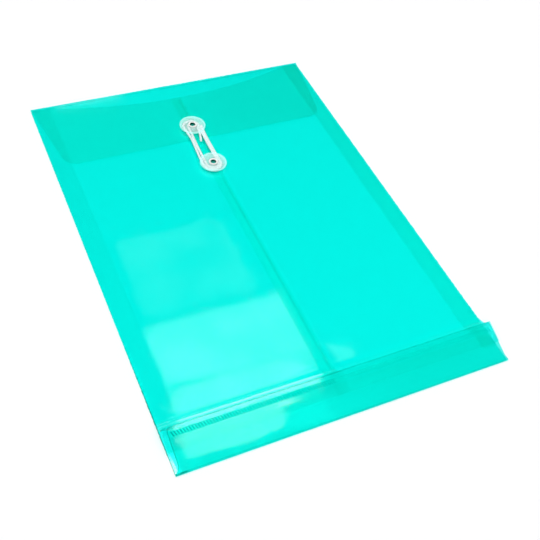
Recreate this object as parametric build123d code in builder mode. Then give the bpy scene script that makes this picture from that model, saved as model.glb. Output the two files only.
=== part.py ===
from build123d import *
import os
from math import asin, atan, cos, degrees, dist, pi, radians, sin, sqrt

# String tie envelope of clear film, lying closed on its front panel.
# The origin is the centre of the front panel's underside: +X across, +Y to the flap crease, +Z up.
# Lengths are in millimetres and angles in degrees.

# Film and overall size
envelope_width = 250.0
envelope_length = 358.0
film = 0.2
layer_gap = 0.15  # air between films that swing apart
weld_gap = 0.05  # film to film inside a weld

# Closing flap
flap_length = 75.5
flap_side_taper = 11.0  # how far each side has drawn in at the lower edge
flap_corner_radius = 11.0

# Side gussets
gusset_width = 15.0
flare_gap = 0.3  # gusset film to the back film where both rise
flare_steps = 5

# Back panels
seam_overlap = 9.5
seam_place = -1.8  # seam and buttons, from the centre line
mouth_drop = 18.0  # crease to mouth edge, at the centre
mouth_side_drop = 6.0  # crease to mouth edge, over the gussets
rise_length = 11.0

# Bottom flap
bottom_flap_length = 29.0
bottom_flap_angle = 17.5
bottom_flap_corner = 3.0
bottom_flap_left_inset = 3.2
bottom_flap_right_inset = 1.0
bottom_flap_draw_in = 3.5  # length of the slant from the crease's end to the inset side
bottom_fold_radius = 1.1
tail_length = 15.0
ridge_gap = 0.6  # bare bend between a tail and its rise

# Buttons
flap_button_drop = 60.0  # crease to upper eyelet
button_spacing = 48.2
disc_diameter = 22.0
disc_thickness = 0.8
disc_rim_width = 1.6
disc_rim_height = 0.25
disc_hub_diameter = 6.0
disc_edge_round = 0.2
eyelet_bore = 4.5
eyelet_wall = 0.3
eyelet_flange_diameter = 7.6
eyelet_flange_height = 0.4
eyelet_flange_round = 0.25
eyelet_roll_height = 0.35
eyelet_hole_clearance = 0.1
disc_running_clearance = 0.08

# String
string_diameter = 1.8
string_clearance = 0.15
string_turn_gap = 0.45
string_turns = 2
string_end_length = 19.6
string_end_lean = 14.2
string_tuck_drop = 1.0  # how far below the upper eyelet the inner end stops
gap_samples = 900

# Heights of the layers, from the table up
front_top = film
strip_front_low = front_top + layer_gap
strip_back_low = strip_front_low + film + layer_gap
back_left_low = strip_back_low + film + layer_gap
back_left_top = back_left_low + film
back_right_low = back_left_top + weld_gap
back_right_top = back_right_low + film
flap_low = back_right_top + layer_gap + eyelet_roll_height
flap_top = flap_low + film
string_level = flap_top + string_clearance + string_diameter / 2
disc_low = string_level + string_diameter / 2 + string_clearance
disc_top = disc_low + disc_thickness

# Places across the sheet
half_width = envelope_width / 2
half_length = envelope_length / 2
seam_left = seam_place - seam_overlap / 2
seam_right = seam_place + seam_overlap / 2
fold_line = half_width - gusset_width
top_fold_radius = flap_top / 2
top_crease = half_length - top_fold_radius
bottom_crease = bottom_fold_radius - half_length
flap_edge = half_length - flap_length
mouth_side = half_length - mouth_side_drop
mouth_middle = half_length - mouth_drop
upper_button = half_length - flap_button_drop
lower_button = upper_button - button_spacing
barrel_radius = eyelet_bore / 2 + eyelet_wall
film_hole_radius = barrel_radius + eyelet_hole_clearance

# Plane of the bottom flap's middle, starting where the bottom fold ends
flap_run = cos(radians(bottom_flap_angle))
flap_climb = sin(radians(bottom_flap_angle))
bottom_fold_middle = bottom_fold_radius - film / 2
bottom_plane = Plane(
    origin=(
        0,
        bottom_crease - bottom_fold_middle * flap_climb,
        bottom_fold_radius + bottom_fold_middle * flap_run,
    ),
    x_dir=(1, 0, 0),
    z_dir=(0, -flap_climb, flap_run),
)
lap_step = film + weld_gap
tail_right_plane = bottom_plane.offset(-lap_step)
tail_left_plane = tail_right_plane.offset(-lap_step)
ridge = tail_right_plane.from_local_coords(Vector(0, bottom_flap_length, 0))

# The back film rises on one arc from the flat panel to the ridge
rise_end = ridge.Y + ridge_gap
rise_start = rise_end + rise_length
rise_height = ridge.Z - (back_right_low + film / 2)
rise_turn = degrees(2 * atan(rise_height / rise_length))
rise_radius = rise_length / sin(radians(rise_turn))
rise_centre_height = back_right_low + film / 2 + rise_radius


def flat_film(outline, low, hole_y=None):
    """A sheet of film over an outline, with an eyelet hole where one is asked for."""
    with BuildPart() as sheet:
        with BuildSketch(Plane.XY.offset(low)):
            add(outline)
            if hole_y is not None:
                with Locations((seam_place, hole_y)):
                    Circle(film_hole_radius, mode=Mode.SUBTRACT)
        extrude(amount=film)
    return sheet.part


def span(low_x, high_x, low_y, high_y):
    """A rectangle between two corners, for use inside a sketch."""
    with Locations(((low_x + high_x) / 2, (low_y + high_y) / 2)):
        Rectangle(high_x - low_x, high_y - low_y)


def finish(part, label):
    """Names a piece and writes it."""
    part.label = label
    export_step(part, f"parts/{label}.step")


os.makedirs("parts", exist_ok=True)

# Front panel
with BuildSketch() as front_outline:
    span(-half_width, half_width, bottom_crease, top_crease)
finish(flat_film(front_outline.sketch, 0), "front_panel")

# Closing flap: tapered sides and rounded lower corners
with BuildSketch() as flap_outline:
    with BuildLine():
        Polyline(
            (-half_width, top_crease),
            (half_width, top_crease),
            (half_width - flap_side_taper, flap_edge),
            (flap_side_taper - half_width, flap_edge),
            close=True,
        )
    make_face()
    fillet(flap_outline.vertices().group_by(Axis.Y)[0], flap_corner_radius)
finish(flat_film(flap_outline.sketch, flap_low, upper_button), "closing_flap")

# Flap fold: half a turn of film from the front panel over to the flap
with BuildPart() as flap_fold:
    with BuildSketch(Plane.YZ.offset(-half_width)):
        with Locations((top_crease, top_fold_radius)):
            Circle(top_fold_radius)
            Circle(top_fold_radius - film, mode=Mode.SUBTRACT)
        with Locations((top_crease - top_fold_radius, top_fold_radius)):
            Rectangle(2 * top_fold_radius, 2 * top_fold_radius, mode=Mode.SUBTRACT)
    extrude(amount=envelope_width)
finish(flap_fold.part, "flap_fold")

# Bottom fold: film that turns from the front panel up into the bottom flap
with BuildPart() as bottom_fold:
    with BuildSketch(Plane.YZ.offset(-half_width)):
        with BuildLine():
            fold_centre = (bottom_crease, bottom_fold_radius)
            fold_sweep = bottom_flap_angle - 180
            CenterArc(fold_centre, bottom_fold_radius, -90, fold_sweep)
            CenterArc(fold_centre, bottom_fold_radius - film, -90, fold_sweep)
            Line((bottom_crease, 0), (bottom_crease, film))
            outer_end = (
                bottom_crease - bottom_fold_radius * flap_climb,
                bottom_fold_radius + bottom_fold_radius * flap_run,
            )
            inner_end = (
                bottom_crease - (bottom_fold_radius - film) * flap_climb,
                bottom_fold_radius + (bottom_fold_radius - film) * flap_run,
            )
            Line(outer_end, inner_end)
        make_face()
    extrude(amount=envelope_width)
finish(bottom_fold.part, "bottom_fold")

# Bottom flap, and the tails of the back film welded under it
with BuildPart() as bottom_flap:
    with BuildSketch(bottom_plane.offset(-film / 2)) as flap_face:
        left_side = bottom_flap_left_inset - half_width
        right_side = half_width - bottom_flap_right_inset
        with BuildLine():
            Polyline(
                (-half_width, 0),
                (half_width, 0),
                (right_side, bottom_flap_draw_in),
                (right_side, bottom_flap_length),
                (left_side, bottom_flap_length),
                (left_side, bottom_flap_draw_in),
                close=True,
            )
        make_face()
        fillet(flap_face.vertices().group_by(Axis.Y)[-1], bottom_flap_corner)
    extrude(amount=film)
finish(bottom_flap.part, "bottom_flap")

for side, plane, low_x, high_x in (
    ("left", tail_left_plane, -half_width, seam_right),
    ("right", tail_right_plane, seam_left, half_width),
):
    with BuildPart() as tail:
        with BuildSketch(plane.offset(-film / 2)):
            span(low_x, high_x, bottom_flap_length - tail_length, bottom_flap_length)
        extrude(amount=film)
    finish(tail.part, f"tail_{side}")

# Back panels: the right one laps over the left one along the seam, below a curved mouth
for side, low, low_x, high_x in (
    ("left", back_left_low, -half_width, seam_right),
    ("right", back_right_low, seam_left, half_width),
):
    with BuildSketch() as panel_outline:
        with BuildLine():
            mouth = ThreePointArc((-fold_line, mouth_side), (0, mouth_middle), (fold_line, mouth_side))
            Polyline(
                mouth @ 1,
                (half_width, mouth_side),
                (half_width, rise_start),
                (-half_width, rise_start),
                (-half_width, mouth_side),
                mouth @ 0,
            )
        make_face()
        with Locations(((low_x + high_x) / 2, (rise_start + half_length) / 2)):
            Rectangle(high_x - low_x, half_length - rise_start, mode=Mode.INTERSECT)
    finish(flat_film(panel_outline.sketch, low, lower_button), f"back_panel_{side}")

    # The same film ramping up to the ridge, as a slice of a round wall
    wall_outside = rise_centre_height - low
    with BuildPart() as rise:
        with BuildSketch(Plane.YZ.offset(low_x)):
            with BuildLine():
                inner_arc = CenterArc((rise_start, rise_centre_height), wall_outside - film, -90, -rise_turn)
                outer_arc = CenterArc((rise_start, rise_centre_height), wall_outside, -90, -rise_turn)
                Line(inner_arc @ 0, outer_arc @ 0)
                Line(inner_arc @ 1, outer_arc @ 1)
            make_face()
        extrude(amount=high_x - low_x)
    finish(rise.part, f"back_rise_{side}")


def strip_section(mirror_x, y, outer_low, inner_x, inner_low):
    """Cross-section of one gusset strip, from its outer crease to the inner fold."""
    with BuildSketch(Plane.XZ.offset(-y)) as section:
        with BuildLine():
            Polyline(
                (mirror_x * half_width, outer_low),
                (mirror_x * inner_x, inner_low),
                (mirror_x * inner_x, inner_low + film),
                (mirror_x * half_width, outer_low + film),
                close=True,
            )
        make_face()
    return section.sketch


def inner_fold(high):
    """How far from the centre line the inner fold lies once the gusset's top edge is at a height."""
    return half_width - sqrt(gusset_width**2 - ((high - strip_front_low) / 2) ** 2)


def foot_section(mirror_x, y, high):
    """Cross-section of a gusset end: both strips, joined at the inner fold."""
    low = strip_front_low
    middle = (low + high) / 2
    inner_x = inner_fold(high)
    film_x = film * (half_width - inner_x) / (middle - low)
    with BuildSketch(Plane.XZ.offset(-y)) as section:
        with BuildLine():
            Polyline(
                (mirror_x * half_width, low),
                (mirror_x * inner_x, middle),
                (mirror_x * half_width, high),
                (mirror_x * half_width, high - film),
                (mirror_x * (inner_x + film_x), middle),
                (mirror_x * half_width, low + film),
                close=True,
            )
        make_face()
    return section.sketch


foot_top = tail_left_plane.offset(-film / 2 - layer_gap)
foot_high = foot_top.from_local_coords(Vector(0, bottom_flap_length, 0))
foot_low = foot_top.from_local_coords(Vector(0, bottom_flap_length - tail_length, 0))

# Where the gussets flare under the rising back film, up to just before the foot:
# places along Y and the height of their top edge
flare_radius = rise_centre_height - back_left_low + flare_gap
flare_turn = degrees(asin((rise_start - foot_high.Y - layer_gap) / flare_radius))
flare_places = [
    (
        rise_start - flare_radius * sin(radians(turn)),
        rise_centre_height - flare_radius * cos(radians(turn)),
    )
    for turn in (flare_turn * step / flare_steps for step in range(1, flare_steps + 1))
]

# Gussets: two flat strips to a side, their flared ends, and the foot that closes the corner
for side, mirror_x in (("left", -1), ("right", 1)):
    inner_edge, outer_edge = sorted((mirror_x * fold_line, mirror_x * half_width))
    flares = {"front": [], "back": []}
    for y, high in flare_places:
        middle = (strip_front_low + high) / 2
        inner_x = inner_fold(high)
        flares["front"].append((y, strip_front_low, inner_x, middle - layer_gap / 2 - film))
        flares["back"].append((y, high - film, inner_x, middle + layer_gap / 2))
    for layer, low in (("front", strip_front_low), ("back", strip_back_low)):
        with BuildSketch() as strip_outline:
            span(inner_edge, outer_edge, rise_start, mouth_side)
        finish(flat_film(strip_outline.sketch, low), f"{side}_gusset_{layer}")
        with BuildPart() as flare:
            sections = [strip_section(mirror_x, rise_start, low, fold_line, low)]
            sections += [strip_section(mirror_x, *place) for place in flares[layer]]
            loft(sections=sections, ruled=True)
        finish(flare.part, f"{side}_gusset_{layer}_flare")
    with BuildPart() as foot:
        foot_ends = [foot_section(mirror_x, place.Y, place.Z) for place in (foot_high, foot_low)]
        loft(sections=foot_ends, ruled=True)
    finish(foot.part, f"{side}_gusset_foot")

# Buttons: a rolled eyelet through the film, and a disc that turns on it
for level, button_y, film_low, film_top in (
    ("upper", upper_button, flap_low, flap_top),
    ("lower", lower_button, back_left_low, back_right_top),
):
    profile_plane = Plane(origin=(seam_place, button_y, 0), x_dir=(1, 0, 0), z_dir=(0, -1, 0))
    turning_axis = Axis((seam_place, button_y, 0), (0, 0, 1))
    bore_radius = eyelet_bore / 2
    flange_radius = eyelet_flange_diameter / 2
    flange_low = disc_top + disc_running_clearance
    flange_top = flange_low + eyelet_flange_height
    with BuildPart() as eyelet:
        with BuildSketch(profile_plane) as eyelet_profile:
            with BuildLine():
                Polyline(
                    (bore_radius, film_low - eyelet_roll_height),
                    (flange_radius, film_low - eyelet_roll_height),
                    (flange_radius, film_low),
                    (barrel_radius, film_low),
                    (barrel_radius, flange_low),
                    (flange_radius, flange_low),
                    (flange_radius, flange_top),
                    (bore_radius, flange_top),
                    close=True,
                )
            make_face()
            fillet(eyelet_profile.vertices().group_by(Axis.Y)[-1], eyelet_flange_round)
        revolve(axis=turning_axis)
    finish(eyelet.part, f"{level}_eyelet")

    disc_radius = disc_diameter / 2
    disc_bore_radius = barrel_radius + disc_running_clearance
    hub_low = film_top + disc_running_clearance
    with BuildPart() as disc:
        with BuildSketch(profile_plane) as disc_profile:
            with BuildLine():
                Polyline(
                    (disc_bore_radius, hub_low),
                    (disc_hub_diameter / 2, hub_low),
                    (disc_hub_diameter / 2, disc_low),
                    (disc_radius, disc_low),
                    (disc_radius, disc_top + disc_rim_height),
                    (disc_radius - disc_rim_width, disc_top + disc_rim_height),
                    (disc_radius - disc_rim_width - disc_rim_height, disc_top),
                    (disc_bore_radius, disc_top),
                    close=True,
                )
            make_face()
            fillet(disc_profile.vertices().group_by(Axis.X)[-1], disc_edge_round)
        revolve(axis=turning_axis)
    finish(disc.part, f"{level}_disc")

# String: a loose end beside the upper eyelet, then turns that widen by half a pitch on each side
half_pitch = (string_diameter + string_turn_gap) / 2
first_reach = disc_hub_diameter / 2 + string_clearance + string_diameter / 2
reaches = [first_reach + half_pitch * count for count in range(2 * string_turns + 1)]
with BuildPart() as tie_string:
    with BuildLine(Plane(origin=(seam_place, 0, string_level))) as string_line:
        for turn in range(string_turns):
            right, left, next_right = reaches[2 * turn : 2 * turn + 3]
            lean = string_end_lean if turn == 0 else 0
            over_top = CenterArc(((right - left) / 2, upper_button), (right + left) / 2, -lean, 180 + lean)
            if turn == 0:
                end_step = Vector(sin(radians(lean)), cos(radians(lean))) * string_end_length
                Line(over_top @ 0 - Vector(end_step.X, end_step.Y, 0), over_top @ 0)
            under = CenterArc(((next_right - left) / 2, lower_button), (next_right + left) / 2, 180, 180)
            Line(over_top @ 1, under @ 0)
            last = turn == string_turns - 1
            Line(under @ 1, (next_right, upper_button - string_tuck_drop if last else upper_button))
    string_wire = string_line.wires()[0]
    with BuildSketch(Plane(origin=string_wire @ 0, z_dir=string_wire % 0)):
        Circle(string_diameter / 2)
    sweep(path=string_wire)
finish(tie_string.part, "tie_string")

# The string's length, and its least gap to itself away from neighbouring points of the same run
string_length = string_wire.length
points = [tuple(string_wire @ (count / gap_samples)) for count in range(gap_samples + 1)]
skip = int(pi * first_reach / string_length * gap_samples)
least_gap = min(
    dist(points[i], points[k]) - string_diameter
    for i in range(gap_samples + 1)
    for k in range(i + skip, gap_samples + 1)
)
section_volume = pi * string_diameter**2 / 4 * string_length
print(f"string length {string_length:.1f} mm, least gap to itself {least_gap:.2f} mm")
print(f"string volume {tie_string.part.volume:.2f}, section times length {section_volume:.2f} mm3")
print(f"string radii {[round((a + b) / 2, 2) for a, b in zip(reaches, reaches[1:])]} mm")
print(f"ridge at y {ridge.Y:.2f} z {ridge.Z:.2f}, rise turns {rise_turn:.1f} on radius {rise_radius:.1f}")
print(f"flap hinge y {top_crease:.3f} z {top_fold_radius:.3f}, bottom y {bottom_crease:.3f}")
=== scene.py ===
"""String tie envelope of clear turquoise film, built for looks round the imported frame.

Everything is in metres in the part's own frame: +X across the envelope, +Y towards the flap's
crease, +Z up, with the front panel lying on the table.
"""

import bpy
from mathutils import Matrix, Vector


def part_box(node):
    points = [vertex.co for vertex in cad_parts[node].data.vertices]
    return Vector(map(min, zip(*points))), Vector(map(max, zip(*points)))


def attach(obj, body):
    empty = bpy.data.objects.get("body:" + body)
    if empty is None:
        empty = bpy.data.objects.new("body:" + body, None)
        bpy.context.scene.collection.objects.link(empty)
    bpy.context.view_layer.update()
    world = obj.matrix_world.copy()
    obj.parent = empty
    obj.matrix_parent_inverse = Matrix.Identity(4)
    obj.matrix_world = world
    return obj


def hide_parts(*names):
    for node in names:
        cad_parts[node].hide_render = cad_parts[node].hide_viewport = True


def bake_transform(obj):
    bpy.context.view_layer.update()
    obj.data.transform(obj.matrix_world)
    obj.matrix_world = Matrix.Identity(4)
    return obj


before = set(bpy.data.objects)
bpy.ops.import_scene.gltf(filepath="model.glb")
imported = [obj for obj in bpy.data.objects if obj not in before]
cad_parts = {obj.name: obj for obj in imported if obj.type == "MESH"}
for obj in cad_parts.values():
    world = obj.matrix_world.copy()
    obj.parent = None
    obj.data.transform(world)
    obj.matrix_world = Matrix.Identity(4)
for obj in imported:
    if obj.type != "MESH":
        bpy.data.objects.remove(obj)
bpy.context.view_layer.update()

import logging
import math
from collections.abc import Callable, Sequence
from dataclasses import dataclass, field
from enum import Enum
from typing import ClassVar

import bmesh
import bpy
import numpy as np
from mathutils import Matrix, Vector, geometry, noise

MM = 0.001

Point = tuple[float, float]
Colour = tuple[float, float, float]
Corner = tuple[float, float, float]
Shape = Callable[[float, float], Vector]

EDGE = "edge"
BLACK: Colour = (0.0, 0.0, 0.0)
WHITE: Colour = (1.0, 1.0, 1.0)

# How far the films stop short of the flap's crease at the sides of the mouth.
MOUTH_GAP = 0.6 * MM
# Radius of the holes that the eyelets go through.
HOLE_RADIUS = 2.65 * MM
# Rounds that settle an angle which the film's own thickness shifts a little.
SETTLING_ROUNDS = 3
# Turn at which two faces of a piece meet in a hard edge.
SHARP_TURN = math.radians(42.0)

log = logging.getLogger("envelope")


def smooth(value: float) -> float:
    """Eases a value from 0 to 1 and holds it there outside that range."""
    t = min(max(value, 0.0), 1.0)
    return t * t * (3.0 - 2.0 * t)


def ripple(x: float, y: float, length: float, seed: float) -> float:
    """Gives a smooth random height from -1 to 1 whose waves are about that length."""
    return noise.noise(Vector((x / length, y / length, seed)))


class Side(Enum):
    """The envelope's two sides, with the sign of X on each."""

    LEFT = -1
    RIGHT = 1

    @property
    def label(self) -> str:
        """The side's name as the frame's nodes write it."""
        return self.name.lower()

    def span(self, reach: float) -> tuple[float, float]:
        """Tells where a film of this side begins and ends across.

        Args:
            reach: How far out from the middle the film goes.

        Returns:
            Its left and right end.
        """
        if self is Side.LEFT:
            return -reach, SIZES.seam_right
        return SIZES.seam_left, reach


@dataclass(frozen=True)
class Sizes:
    """Where the film lies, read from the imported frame; levels are the middle of the film.

    Attributes:
        half_width: From the centre line to either side of the envelope.
        film: Thickness of the film.
        front_level: Level of the front panel.
        top_crease: Place along of the flap's crease.
        bottom_crease: Place along of the bottom flap's crease.
        crease_radius: Radius of the flap's crease.
        bottom_radius: Radius of the bottom flap's crease.
        flap_level: Level of the closing flap.
        flap_edge: Place along of the flap's free edge.
        left_level: Level of the back's left film.
        lap_step: From one film to the next one where they lap.
        seam_left: Place across where the right film's lap begins.
        seam_right: Place across where the left film's lap ends.
        mouth_side: Place along of the mouth's ends, at the sides.
        rise_start: Place along where the back begins to rise to the ridge.
        rise_turn: Angle through which it rises.
        rise_radius: Radius of the rise.
        band_angle: Slope of the bottom flap.
        band_length: Length of that slope.
        tail_start: Where the tails begin under it, up the slope.
        gusset_line: From the centre line to the gussets' inner folds.
        strip_low: Level of the gussets' front strips.
        strip_high: Level of the gussets' back strips.
        foot_near: Place along of the gusset feet's upper end.
        foot_far: Place along of their lower end.
        hole_radius: Radius of the eyelets' holes.
        upper: Middle of the upper eyelet.
        lower: Middle of the lower eyelet.
    """

    half_width: float
    film: float
    front_level: float
    top_crease: float
    bottom_crease: float
    crease_radius: float
    bottom_radius: float
    flap_level: float
    flap_edge: float
    left_level: float
    lap_step: float
    seam_left: float
    seam_right: float
    mouth_side: float
    rise_start: float
    rise_turn: float
    rise_radius: float
    band_angle: float
    band_length: float
    tail_start: float
    gusset_line: float
    strip_low: float
    strip_high: float
    foot_near: float
    foot_far: float
    hole_radius: float
    upper: Vector
    lower: Vector

    @classmethod
    def from_frame(cls) -> "Sizes":
        """Measures the frame's nodes.

        Returns:
            The sizes that every sub-assembly shares.
        """
        front_low, front_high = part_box("front_panel")
        film = front_high.z - front_low.z
        flap_low, flap_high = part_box("closing_flap")
        fold_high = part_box("flap_fold")[1]
        crease_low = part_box("bottom_fold")[0]
        left_low, left_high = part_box("back_panel_left")
        right_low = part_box("back_panel_right")[0]
        rise_low, rise_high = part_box("back_rise_right")
        band_low, band_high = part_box("bottom_flap")
        tail_low, tail_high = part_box("tail_right")
        strip_low, strip_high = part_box("left_gusset_front")
        foot_low, foot_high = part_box("left_gusset_foot")
        back_strip_low, back_strip_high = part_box("left_gusset_back")
        angle = 0.0
        for _ in range(SETTLING_ROUNDS):
            rise = band_high.z - band_low.z - film * math.cos(angle)
            angle = math.atan2(rise, band_high.y - band_low.y - film * math.sin(angle))
        turn = 0.0
        for _ in range(SETTLING_ROUNDS):
            climb = rise_high.z - rise_low.z - film * math.cos(turn)
            turn = 2.0 * math.atan2(climb, left_low.y - rise_low.y)
        band_length = (band_high.z - band_low.z - film * math.cos(angle)) / math.sin(angle)
        tail = (tail_high.y - tail_low.y - film * math.sin(angle)) / math.cos(angle)
        lap_step = right_low.z - left_low.z
        eyelets = [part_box(f"{place}_eyelet") for place in ("upper", "lower")]
        upper, lower = [(low + high) / 2.0 for low, high in eyelets]
        return cls(
            half_width=front_high.x,
            film=film,
            front_level=(front_low.z + front_high.z) / 2.0,
            top_crease=front_high.y,
            bottom_crease=front_low.y,
            crease_radius=fold_high.z / 2.0 - film / 2.0,
            bottom_radius=front_low.y - crease_low.y - film / 2.0,
            flap_level=(flap_low.z + flap_high.z) / 2.0,
            flap_edge=flap_low.y,
            left_level=(left_low.z + left_high.z) / 2.0,
            lap_step=lap_step,
            seam_left=right_low.x,
            seam_right=left_high.x,
            mouth_side=front_high.y - MOUTH_GAP,
            rise_start=left_low.y,
            rise_turn=turn,
            rise_radius=(left_low.y - rise_low.y) / math.sin(turn) - film / 2.0 + lap_step,
            band_angle=angle,
            band_length=band_length,
            tail_start=band_length - tail,
            gusset_line=-strip_high.x,
            strip_low=(strip_low.z + strip_high.z) / 2.0,
            strip_high=(back_strip_low.z + back_strip_high.z) / 2.0,
            foot_near=foot_high.y,
            foot_far=foot_low.y,
            hole_radius=HOLE_RADIUS,
            upper=upper,
            lower=lower,
        )

    def band_point(self, x: float, along: float, above: float) -> Vector:
        """Places a point on the bottom flap's slope.

        Args:
            x: Place across the envelope.
            along: Distance up the slope from the bottom crease.
            above: Height over the middle of the flap's film.

        Returns:
            The point in the row frame.
        """
        turn = math.pi / 2.0 + self.band_angle
        sine, cosine = math.sin(self.band_angle), math.cos(self.band_angle)
        y = self.bottom_crease + self.bottom_radius * math.cos(turn)
        z = self.bottom_radius + self.film / 2.0 + self.bottom_radius * math.sin(turn)
        return Vector((x, y + along * cosine - above * sine, z + along * sine + above * cosine))

    def back_point(self, x: float, along: float, above: float) -> Vector:
        """Places a point on the back, flat above the rise's start and curving up below it.

        Args:
            x: Place across the envelope.
            along: Distance from the rise's start, positive towards the mouth.
            above: Height over the middle of the left film.

        Returns:
            The point in the row frame.
        """
        if along >= 0.0:
            return Vector((x, self.rise_start + along, self.left_level + above))
        turn = -along / self.rise_radius
        reach = self.rise_radius - above
        y = self.rise_start - reach * math.sin(turn)
        z = self.left_level + self.rise_radius - reach * math.cos(turn)
        return Vector((x, y, z))

    @property
    def rise_length(self) -> float:
        """Length of the film that climbs to the ridge."""
        return self.rise_radius * self.rise_turn


SIZES = Sizes.from_frame()


class Socket:
    """One shader socket, with arithmetic that adds Math nodes."""

    def __init__(self, graph: "Graph", socket: bpy.types.NodeSocket) -> None:
        """Keeps the socket and the graph it belongs to."""
        self.graph = graph
        self.socket = socket

    def math(self, operation: str, first: "Socket | float", second: "Socket | float") -> "Socket":
        """Adds one Math node and hands back its value."""
        return self.graph.node("ShaderNodeMath", {"operation": operation}, {0: first, 1: second})

    def __add__(self, other: "Socket | float") -> "Socket":
        """Adds."""
        return self.math("ADD", self, other)

    def __radd__(self, other: float) -> "Socket":
        """Adds to a number."""
        return self.math("ADD", other, self)

    def __sub__(self, other: "Socket | float") -> "Socket":
        """Subtracts."""
        return self.math("SUBTRACT", self, other)

    def __rsub__(self, other: float) -> "Socket":
        """Subtracts from a number."""
        return self.math("SUBTRACT", other, self)

    def __mul__(self, other: "Socket | float") -> "Socket":
        """Multiplies."""
        return self.math("MULTIPLY", self, other)

    def __rmul__(self, other: float) -> "Socket":
        """Multiplies a number."""
        return self.math("MULTIPLY", other, self)

    def most(self, other: "Socket") -> "Socket":
        """The larger of two."""
        return self.math("MAXIMUM", self, other)

    def least(self, other: "Socket") -> "Socket":
        """The smaller of two."""
        return self.math("MINIMUM", self, other)

    def step(self, low: float, high: float) -> "Socket":
        """Eases from 0 to 1 over a range.

        Args:
            low: Where the result is still 0.
            high: Where it has become 1.

        Returns:
            The eased value.
        """
        settings = {"interpolation_type": "SMOOTHSTEP"}
        inputs = {"Value": self, "From Min": low, "From Max": high}
        return self.graph.node("ShaderNodeMapRange", settings, inputs)


Value = Socket | float | Sequence[float]


class Graph:
    """A node tree that is built one call at a time."""

    def __init__(self, tree: bpy.types.NodeTree) -> None:
        """Empties the tree."""
        self.tree = tree
        tree.nodes.clear()

    def node(
        self,
        kind: str,
        settings: dict[str, object] | None = None,
        inputs: dict[str | int, Value] | None = None,
        output: str | int = 0,
    ) -> Socket:
        """Adds a node.

        Args:
            kind: The node's type.
            settings: The node's own properties, set first.
            inputs: Values or links of its sockets, by name or number.
            output: The socket that is handed back.

        Returns:
            That output socket.
        """
        node = self.tree.nodes.new(kind)
        for name, value in (settings or {}).items():
            setattr(node, name, value)
        for key, value in (inputs or {}).items():
            if isinstance(value, Socket):
                self.tree.links.new(value.socket, node.inputs[key])
            else:
                node.inputs[key].default_value = value
        return Socket(self, node.outputs[output]) if node.outputs else Socket(self, None)

    def place(self) -> Socket:
        """The point on the piece at rest, in metres."""
        return self.node("ShaderNodeTexCoord", output="Object")

    def noise(self, scale: float, detail: float) -> Socket:
        """Smooth noise from 0 to 1 with waves of about 1 / scale metres."""
        inputs = {"Vector": self.place(), "Scale": scale, "Detail": detail}
        return self.node("ShaderNodeTexNoise", None, inputs)

    def axis(self, name: str, source: str = "Object") -> Socket:
        """One coordinate of the point on the piece, in metres or as a share of its box."""
        place = self.node("ShaderNodeTexCoord", output=source)
        return self.node("ShaderNodeSeparateXYZ", None, {0: place}, name)

    def edge(self) -> Socket:
        """1 along the cut edges of a film, falling to 0 a little way in."""
        return self.node("ShaderNodeAttribute", {"attribute_name": EDGE}, output="Fac")

    def radius(self) -> Socket:
        """Distance from the upright axis of a turned piece."""
        flat = self.node(
            "ShaderNodeVectorMath", {"operation": "MULTIPLY"}, {0: self.place(), 1: (1.0, 1.0, 0.0)}
        )
        return self.node("ShaderNodeVectorMath", {"operation": "LENGTH"}, {0: flat}, "Value")

    def bump(self, height: Socket, depth: float) -> Socket:
        """A normal for relief of that depth in metres."""
        return self.node("ShaderNodeBump", None, {"Distance": depth, "Height": height})

    def mix_colour(self, factor: Socket, first: Value, second: Value) -> Socket:
        """Mixes two colours."""
        inputs = {0: factor, 6: first, 7: second}
        return self.node("ShaderNodeMix", {"data_type": "RGBA"}, inputs, 2)

    def mix(self, factor: Socket | float, first: Socket, second: Socket) -> Socket:
        """Mixes two shaders."""
        return self.node("ShaderNodeMixShader", None, {0: factor, 1: first, 2: second})

    def clear(self, colour: Colour) -> Socket:
        """Lets light straight through, tinted."""
        return self.node("ShaderNodeBsdfTransparent", None, {"Color": rgba(colour)})

    def principled(self, inputs: dict[str | int, Value]) -> Socket:
        """A Principled surface."""
        return self.node("ShaderNodeBsdfPrincipled", None, inputs)


def rgba(colour: Colour) -> tuple[float, float, float, float]:
    """Adds full alpha to a colour."""
    return (*colour, 1.0)


@dataclass(frozen=True)
class Finish:
    """A named surface whose shader is built on first use."""

    name: str

    def material(self) -> bpy.types.Material:
        """Builds the material, or finds it if it is there already.

        Returns:
            The material with this finish.
        """
        made = bpy.data.materials.get(self.name)
        if made is None:
            made = bpy.data.materials.new(self.name)
            made.use_nodes = True
            graph = Graph(made.node_tree)
            graph.node("ShaderNodeOutputMaterial", None, {"Surface": self.surface(graph)})
        return made

    def surface(self, graph: Graph) -> Socket:
        """Builds the shader in a graph and hands back its last socket."""
        raise NotImplementedError


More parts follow.
